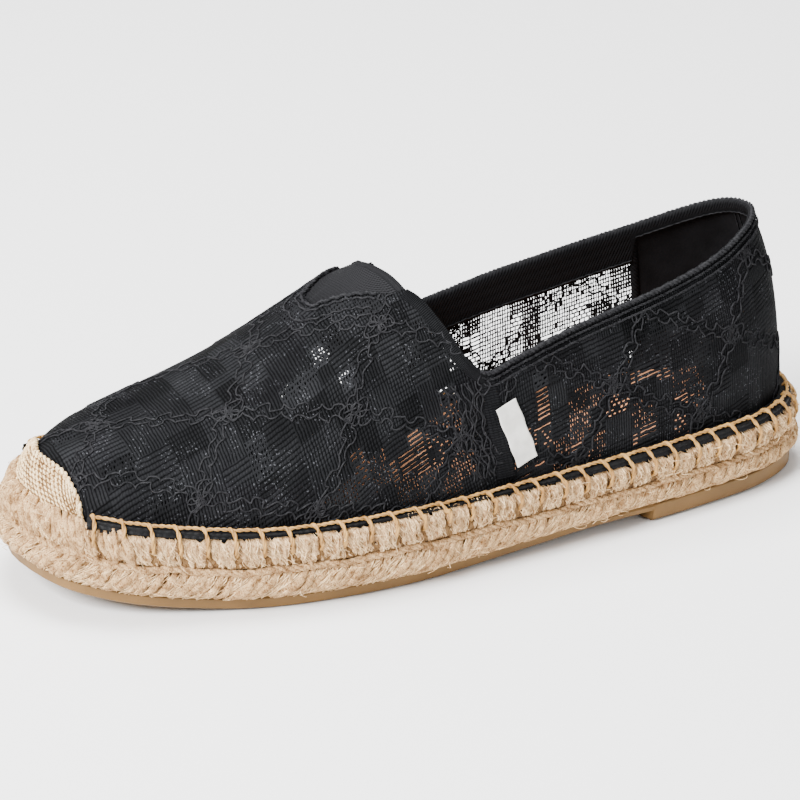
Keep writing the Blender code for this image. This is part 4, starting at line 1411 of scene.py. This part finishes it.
LINING_BINDING = 2.6
for sign, label in ((1.0, "outer"), (-1.0, "inner")):
    def bound_edge(a, b):
        run = sign * (HEEL_LINED_RUN + (a - 0.5) * LINING_BINDING)
        return on_wall(run, 1.0 + b * 55.0, 1.15 + 0.35 * np.sin(a * math.pi))
    bound = laid_grid("lining_edge_" + label, 8, 60, bound_edge, twill,
                      uv_size=(LINING_BINDING, 55.0))
    keep_sheet(above_rope(bound), into_shoe, 0.25, "tape_black")

BACK_SEAM_RUN = -9.0
seam_downs = np.arange(3.0, 44.0, 0.8)
back_seams = [on_wall(BACK_SEAM_RUN + off + 0.08 * np.sin(seam_downs * 2.6), seam_downs, 1.05)
              for off in (-0.9, 0.9)]
lay_cords("lining_back_seam", "lace_black", back_seams, 0.45, gimp, 0)

edge_top = on_wall(BINDING_RUNS, -0.75, -0.15)
edge_away = on_wall(BINDING_RUNS, -0.75, -2.0) - edge_top
edge_plies = twist(edge_top, edge_away, 0.40, 2.9, 2)
lay_cords("collar_cord", "tape_black", edge_plies, 0.92, gimp, 1)
hem_plies = []
for down, wide in ((1.15, 0.26), (3.1, 0.20)):
    hem_path = on_wall(BINDING_RUNS, down, -0.12)
    hem_away = on_wall(BINDING_RUNS, down, -2.0) - hem_path
    hem_plies += twist(hem_path, hem_away, wide, 2.4, 2)
lay_cords("collar_hem_stitch", "tape_black", hem_plies, 0.52, gimp, 0)


HEM_SECTION = [(-0.4, 1.2), (-0.75, 0.7), (-0.75, 0.1), (-0.4, -0.25), (0.6, -0.34), (2.2, -0.30),
               (2.7, -0.16), (2.9, 0.2), (2.6, 1.1), (0.4, 1.5), (-0.4, 1.2)]
HEM_LENGTH, HEM_ROUND = 62.0, 9.0


def folded_edge(name, stations, girths, inward, section, look, columns):
    """A folded strip along an edge of the vamp; inward is the way into the cloth."""
    shares = np.linspace(0, 1, len(stations))
    rows = len(section) - 1

    def surface(a, b):
        s = np.interp(a, shares, stations)
        g = np.interp(a, shares, girths)
        into_s = np.interp(a, shares, inward[:, 0])
        into_g = np.interp(a, shares, inward[:, 1])
        at = b * rows
        down = np.interp(at, np.arange(rows + 1), [row[0] for row in section])
        depth = np.interp(at, np.arange(rows + 1), [row[1] for row in section])
        return on_vamp(s + into_s * down, g + into_g * down, depth)

    def cap_ends(work):
        bmesh.ops.holes_fill(work, edges=work.edges, sides=0)
        bmesh.ops.recalc_face_normals(work, faces=work.faces)
    piece = laid_grid(name, columns, rows, surface, look, True, (HEM_LENGTH, HEM_ROUND))
    mended(piece, cap_ends)
    return piece


def inward_of(stations, girths, sign):
    """Unit direction in the flat cloth, square to an edge and into the cloth."""
    ds, dg = np.gradient(stations), np.gradient(girths)
    length = np.hypot(ds, dg)
    return np.stack([dg / length * sign, -ds / length * sign], 1)


for sign, label in ((1.0, "outer"), (-1.0, "inner")):
    past = throat_offset[sign] < GORE_TOP[0] + 0.4
    stations, girths = throat[sign][0][~past], throat[sign][1][~past]
    inward = inward_of(stations, girths, -1.0 if sign > 0 else 1.0)
    strip = folded_edge("throat_hem_" + label, stations, girths, inward, HEM_SECTION, lace_edge, 90)
    keep(strip, "lace_black")


# the elastic's own top edge, turned in between the two corners of the lace
GORE_FOLD = [(-0.2, 1.3), (-0.5, 0.8), (-0.5, 0.4), (-0.2, 0.15), (1.5, 0.18), (1.9, 0.40),
             (1.7, 1.2), (0.4, 1.5), (-0.2, 1.3)]
top_offsets = np.linspace(GORE_TOP[0] + 0.4, -GORE_TOP[0] - 0.4, 60)
top_s = gore_top(top_offsets)
top_g = girth_at(top_s, top_offsets)
top_inward = np.stack([np.ones(len(top_s)), np.zeros(len(top_s))], 1)
keep(folded_edge("gore_top_fold", top_s, top_g, top_inward, GORE_FOLD, elastic, 60),
     "elastic_black")


def gore_edge(sign):
    """Stations and girths down one side of the gore, to its blunt point."""
    stations = np.linspace(THROAT_STATION - 0.6, GORE_POINT[1], 40)
    half = np.minimum(GORE_TOP[0], GORE_POINT[0] + gore_lean * (GORE_POINT[1] - stations))
    return stations, girth_at(stations, sign * half)


outer_gore, inner_gore = gore_edge(1.0), gore_edge(-1.0)
bottom_s = np.full(8, GORE_POINT[1] + 0.3)
bottom_g = np.linspace(outer_gore[1][-1], inner_gore[1][-1], 10)[1:-1]
fold_s = np.concatenate([outer_gore[0], bottom_s, inner_gore[0][::-1]])
fold_g = np.concatenate([outer_gore[1], bottom_g, inner_gore[1][::-1]])
ragged = np.random.default_rng(77)
for turn_number, (reach, lift, wide) in enumerate(((0.4, 0.35, 1.0), (1.9, 0.25, 0.62),
                                                   (5.2, 0.22, 0.55))):
    away = inward_of(fold_s, fold_g, -1.0)
    crinkle = reach + 0.26 * np.sin(np.arange(len(fold_s)) * 0.9 + turn_number)
    path = on_vamp(fold_s + away[:, 0] * crinkle, fold_g + away[:, 1] * crinkle, -lift)
    plies = twist(path, path - on_vamp(fold_s, fold_g, 3.0), 0.25 * wide, 2.6 * wide, 2)
    lay_cords("gore_fold_%d" % turn_number, "lace_black", plies, 0.75 * wide, gimp, 1)


def down_the_side(sign, station, height, depth):
    """Points of the vamp at given stations and heights."""
    girth = halved(np.full(len(station), 20.0), np.full(len(station), 118.0), 26,
                   lambda girth: on_vamp(station, sign * girth)[:, 2] > height)
    return on_vamp(station, sign * girth, depth)


def side_seam_surface(sign):
    """Overlapped seam strip of the side, from the collar down to the sole."""
    def surface(a, b):
        height = 25.5 + a * 33.5
        station = seam_station(height) + (b - 0.5) * 6.5
        proud = 0.45 * ramp(np.sin(b * math.pi) * 2.5) + 0.06 * np.sin(a * 150)
        return down_the_side(sign, station, height, -proud + 0.2)
    return surface


# wavy cords of the lace's own border, bunched where the side seam gathers it
BORDER_CORDS = 9
gather = np.random.default_rng(31)
border_paths = []
for sign in (1.0, -1.0):
    for number in range(BORDER_CORDS):
        heights = np.arange(27.5, 57.0, 0.7)
        shares = (heights - 27.5) / 29.5
        phase = gather.uniform(0, 2 * math.pi, 2)
        across = 3.6 + number * (0.95 + 0.55 * shares)
        wave = (0.55 * np.sin(heights / 1.05 + phase[0])
                + 0.60 * np.sin(heights / 3.1 + phase[1]))
        border_paths.append(down_the_side(sign, seam_station(heights) + across + wave,
                                          heights, -0.28))
lay_cords("seam_border_cords", "lace_black", border_paths, 0.50, gimp)


for sign, label in ((1.0, "outer"), (-1.0, "inner")):
    strip = laid_grid("side_seam_" + label, 60, 16, side_seam_surface(sign), lace_edge,
                      uv_size=(36.0, 6.5))
    keep_sheet(strip, from_axis, 0.5, "lace_black")


# ---------------------------------------------------------------------------
# Rand. A black ribbed band sewn round the foot of the upper over the rope, open
# where the toe cap sits; three cords of it show, pulled in a little at each stitch.
CAP_STATION, CAP_CLIMB, CAP_RIM, CAP_BASE = 233.0, 0.50, 1.4, 1.9
rand_rows = [(4.6, JUTE, 0.3), (2.2, JUTE, 0.2), (1.9, JUTE, 0.6), (1.75, JUTE, 1.2),
             (1.50, JUTE, 1.8), (1.55, SEAM, -1.5), (2.2, SEAM, -0.6), (3.2, SEAM, -0.2),
             (4.7, SEAM, 0.0)]
RAND_RIBS = 3

# how far the sewing line sits below the rand's full height: station, drop
SEWN_DROP = [(0.0, 3.1), (118.0, 3.1), (150.0, 2.1), (185.0, 1.3), (215.0, 0.3), (250.0, 0.0)]


def sewn_level(station, which, lift):
    """A level of the sole's side; the seam level is drawn down by the sewing."""
    drop = smooth_rows(SEWN_DROP, station, 1) if which == SEAM else 0.0
    return level(station, which, lift) - drop


def rand_stop(sign):
    """Run round the edge where the toe cap's end meets the rand."""
    half = EDGE_ROUND / 2
    runs = np.linspace(0, half, 900) if sign > 0 else np.linspace(EDGE_ROUND, half, 900)
    stations = sole_edge(runs, UPPER_INSET)[0]
    return float(runs[int(np.argmax(stations > CAP_STATION - 1.2))])


RAND_FROM, RAND_TO = rand_stop(-1) - EDGE_ROUND, rand_stop(1)


def rand_surface(a, b):
    run = RAND_FROM + a * (RAND_TO - RAND_FROM)
    at = b * (len(rand_rows) - 1)
    index = np.arange(len(rand_rows))
    inset = np.interp(at, index, [row[0] for row in rand_rows])
    station, _ = sole_edge(run, inset)
    heights = np.stack([sewn_level(station, which, lift) for _, which, lift in rand_rows], 1)
    low = np.clip(at.astype(int), 0, len(rand_rows) - 2)
    part = at - low
    pick = np.arange(len(run))
    z = heights[pick, low] * (1 - part) + heights[pick, low + 1] * part
    pull = 0.45 * (1.0 - np.abs(np.sin(math.pi * run / BAY)) ** 0.5)
    rib = 0.62 * np.abs(np.sin(math.pi * RAND_RIBS * ramp(b, 0.15, 0.70)))
    rib *= 1.0 + 0.35 * np.sin(run * 3.1 + 9.0 * b) + 0.25 * np.sin(run * 6.3 - 14.0 * b)
    station, side = sole_edge(run, inset + pull - rib)
    return in_frame(station, side, z)


braid = mottled("rand_braid", ((0.006, 0.006, 0.007), 0.50, 0.0, 0.11), (0.0030, 0.0030, 0.0034),
                (0.0085, 0.0085, 0.0092), (0.7,), ((2.4, 3.0, 0.18, 0.9),))
rand = laid_grid("ribbed_rand", 760, 32, rand_surface, braid)
face_outwards(rand, side_only)
keep(rand, "tape_black", "rand")


# ---------------------------------------------------------------------------
# Blanket stitch. Waxed tan thread, two plies: each stitch comes out of the rope,
# climbs over the rand, turns at the seam and runs on to the next one.
thread = mottled("waxed_thread", ((0.58, 0.33, 0.12), 0.5, 0.0, 0.35), (0.25, 0.118, 0.026),
                 (0.50, 0.285, 0.088), (0.30,), ((3.4, 3.0, 0.12, 0.7),))
TOP_WIDE, LEG_WIDE = 0.66, 0.80
top_paths, leg_paths = [], []
sew = np.random.default_rng(8)


def knot_place(run, inset, which, lift):
    station, side = sole_edge(run, inset)
    return in_frame(station, side, sewn_level(station, which, lift))


def sewn(near, heart, knots, pitch, flat=1.0):
    """Two plies of thread along a smooth path through knots: run, inset, level, lift."""
    points = np.array([knot_place(*knot) for knot in knots])
    run = run_along(points)
    fine = np.arange(0.0, run[-1], 0.5)
    path = np.stack([np.interp(fine, run, points[:, axis]) for axis in range(3)], 1)
    for _ in range(2):
        path[1:-1] = (path[:-2] + 2 * path[1:-1] + path[2:]) / 4
    outward = points[3] - knot_place(near, 6.0, heart, -3.0)
    return twist(path, outward, 0.27, pitch, 2, sew.uniform(0, 6), flat)


for stitch in range(math.ceil(RAND_FROM / BAY) + 1, math.floor((RAND_TO - 1.5) / BAY) + 1):
    near = stitch * BAY + sew.uniform(-0.45, 0.45)
    hook = 0.9 * (1.0 - float(ramp(edge_station(near), 90.0, 60.0)))
    outer_side = 1.0 if 0.0 < near < EDGE_ROUND / 2 else -1.0
    slack = sew.uniform(-0.5, 0.5)
    deep = sew.uniform(-0.5, 0.5)
    hooked = near + slack - outer_side * hook * 0.6
    leg = [(near + slack, 2.6, JUTE, -4.6 + deep), (near + slack, 0.5, JUTE, -3.8 + deep),
           (hooked, -0.75, JUTE, -2.2), (near + slack * 0.6 - outer_side * hook, -0.75, JUTE, 0.0),
           (near + slack * 0.4 - outer_side * hook, -0.10, JUTE, 1.6),
           (near - outer_side * hook * 0.6, 0.40, SEAM, -2.2),
           (near + outer_side * 0.2, 1.1, SEAM, -0.7), (near + outer_side * 0.9, 2.3, SEAM, 0.5),
           (near + outer_side * 1.5, 3.2, SEAM, 0.5), (near + outer_side * 1.7, 3.9, SEAM, -0.6)]
    leg_paths += sewn(near, JUTE, leg, 6.0, 0.8)
    last_stitch = near - BAY
    top = [(near + 1.6, 3.7, SEAM, -0.5), (near + 1.1, 2.4, SEAM, 0.05),
           (near - 0.5, 2.3, SEAM, 0.35), (near - BAY / 2, 2.5, SEAM, 0.50),
           (last_stitch + 0.9, 2.6, SEAM, 0.30), (last_stitch - 0.3, 2.9, SEAM, -0.25),
           (last_stitch - 0.9, 3.8, SEAM, -0.6)]
    top_paths += sewn(near, SEAM, top, 4.2)
lay_cords("blanket_legs", "jute_rope", leg_paths, LEG_WIDE, thread, 1)
lay_cords("blanket_stitches", "jute_rope", top_paths, TOP_WIDE, thread, 1)


# ---------------------------------------------------------------------------
# Toe cap. A cap of jute cord coiled in rows over the toe and stitched row to row,
# its last row a firm rim; the bottom rows run into the side of the rope sole.
cap_look = jute_look("cap_cord", (0.70, 0.465, 0.220), (1.0, 0.775, 0.455),
                     (1700.0, 1700.0, 1700.0), (0.46, 0.32, 0.20))
# the solid cap under the cords takes the dark core finish: painted shade between the cords
dress(jute_core_shade_look, "toe_cap")
CAP_ROWS = 10
CAP_LAY = 3.5
CAP_MIDDLE = np.array([-4.5, -106.0, 28.0])
cap_ends = {}
for side in ("outer", "inner"):
    row = FEATHER[side]
    cap_ends[side] = int(np.argmax(row[:, 0] < CAP_STATION)) / (len(row) - 1)


def cap_point(share, fraction, proud):
    """Place over the toe: share -1 to 1 from the inner end to the outer end."""
    share, fraction, proud = (np.array(v, float) for v in
                              np.broadcast_arrays(share, fraction, proud))
    out = np.empty((len(share), 3))
    for side, own in (("outer", share >= 0), ("inner", share < 0)):
        if not own.any():
            continue
        at, part = np.abs(share[own]), fraction[own]
        u = cap_ends[side] * at
        reach = CAP_CLIMB * np.sqrt(np.clip(1.0 - at ** 2.2, 0.0, None)) + 0.04
        k = reach * part

        def place(uu, kk):
            return in_frame(*last(side, ramp(uu), ramp(kk)))
        p = place(u, k)
        up = place(u, k + 0.01) - place(u, k - 0.01)
        way = place(u + 0.01, k) - place(u - 0.01, k)
        normal = out_of(way, up, p - CAP_MIDDLE)
        thick = CAP_BASE + (CAP_RIM - CAP_BASE) * part ** 0.8
        thick = thick * (0.45 + 0.55 * np.minimum(1.0, 4.0 * (1.0 - at) + 0.35))
        out[own] = p + normal * (0.5 + thick + proud[own])[:, None]
    return out


cap_paths, cap_widths = [], []
for number in range(CAP_ROWS):
    fraction = (number + 0.4) / CAP_ROWS
    shares = np.linspace(-0.995, 0.995, 150)
    proud = np.full(150, -0.35)
    path = cap_point(shares, np.full(150, fraction), proud)
    lower = cap_point(shares, np.full(150, max(fraction - 0.5 / CAP_ROWS, 0.0)), proud)
    upper = cap_point(shares, np.full(150, min(fraction + 0.5 / CAP_ROWS, 1.0)), proud)
    gap = np.linalg.norm(upper - lower, axis=1)
    away = cap_point(shares, np.full(150, fraction), proud + 2.0) - path
    run = run_along(path)
    fine = np.arange(0.0, run[-1], 0.7)

    def resampled(values):
        return np.stack([np.interp(fine, run, values[:, axis]) for axis in range(values.shape[1])],
                        1)
    size = np.clip(np.interp(fine, run, gap), 0.7, 2.6)
    wander = 1.0 + 0.16 * np.sin(fine * 0.7 + number) + 0.10 * np.sin(fine * 1.9 + number * 2.0)
    plies = twist(resampled(path), resampled(away), size * 0.30 * wander, CAP_LAY, 2,
                  number * 1.7)
    cap_paths += plies
    cap_widths += [size * 0.27 * wander, size * 0.27 * wander]
lay_cords("cap_cords", "jute_cap", cap_paths, 2.0, cap_look, 1, cap_widths)

rim_share = np.linspace(-1.0, 1.0, 150)
rim_path = cap_point(rim_share, np.full(150, 1.0), np.full(150, -0.6))
rim_away = cap_point(rim_share, np.full(150, 1.0), np.full(150, 2.0)) - rim_path
lay_cords("cap_rim", "jute_cap", twist(rim_path, rim_away, 0.38, 4.2, 2), 1.0, cap_look, 1)


# ---------------------------------------------------------------------------
# Side tape. A short white woven tape caught in by its top end behind the side seam,
# left bare; its selvedges are a little wavy.
LABEL_TOP, LABEL_END = (111.0, 48.5), (104.3, 29.5)
LABEL_WIDE = 7.0
label_look = make_look("white_woven_tape", (0.78, 0.76, 0.72), 0.75, 0.05, 0.2)
warp_place, weft_place = sheet_place(label_look)
label_warp = sums(label_look, "SINE", times(label_look, warp_place, 2 * math.pi / 0.5))
label_weft = sums(label_look, "SINE", times(label_look, weft_place, 2 * math.pi / 0.45))
relief(label_look, times(label_look, label_warp, label_weft), 0.08, 0.7)
colour_by(label_look, tint(label_look, noise(label_look, where(label_look), 0.3),
                           (0.66, 0.645, 0.60), (0.82, 0.80, 0.76)))
label_length = math.dist(LABEL_TOP, LABEL_END)


def label_surface(a, b):
    down = b * label_length
    way = np.array(LABEL_END) - np.array(LABEL_TOP)
    way = way / np.linalg.norm(way)
    side_way = np.array([-way[1], way[0]])
    wavy = 0.16 * np.sin(down * 0.75 + 4.0 * (a > 0.5)) * (np.abs(a - 0.5) * 2) ** 3
    offset = (a - 0.5) * LABEL_WIDE + wavy
    station = LABEL_TOP[0] + way[0] * down + side_way[0] * offset
    height = LABEL_TOP[1] + way[1] * down + side_way[1] * offset
    run = np.full(len(a), wall_run_at(1, 110.0))
    for _ in range(14):
        fall = halved(np.zeros(len(a)), np.full(len(a), 75.0), 22,
                      lambda down: on_wall(run, down)[:, 2] > height)
        run = run + (station - station_of(on_wall(run, fall))) * 0.9
    lift = 0.75 + 0.15 * np.sin(down * 0.6) + 0.15 * (np.abs(a - 0.5) * 2) ** 2
    return on_wall(run, fall, -lift)


label = laid_grid("bare_side_tape", 16, 44, label_surface, label_look,
                  uv_size=(LABEL_WIDE, label_length))
keep_sheet(label, from_axis, 0.45, "label_white", "side_label")


# ---------------------------------------------------------------------------
# Stray fibre. Loose ends of jute stand out of the rope and the cap all the way
# round, thin, curled and pale.
STRAYS = 330
stray_paths = []
for number in range(STRAYS):
    course = "lower" if draw.random() < 0.55 else "upper"
    foot, share = draw.uniform(0, EDGE_ROUND), draw.uniform(0.1, 0.95)
    reach = draw.uniform(1.2, 4.2)
    t = np.linspace(0, 1, 9)
    run = foot + draw.normal(0, 3.0) * t + 0.8 * np.sin(t * draw.uniform(2, 6))
    shares = share + draw.normal(0, 0.25) * t - 0.12 * t ** 2
    proud = 0.2 + reach * np.sin(t * draw.uniform(1.2, 2.9))
    stray_paths.append(course_point(run, np.clip(shares, 0.03, 1.2), course,
                                    np.clip(proud, -0.5, 3.4)))
lay_cords("stray_fibres", "jute_rope", stray_paths, 0.16, jute_fibre_look)
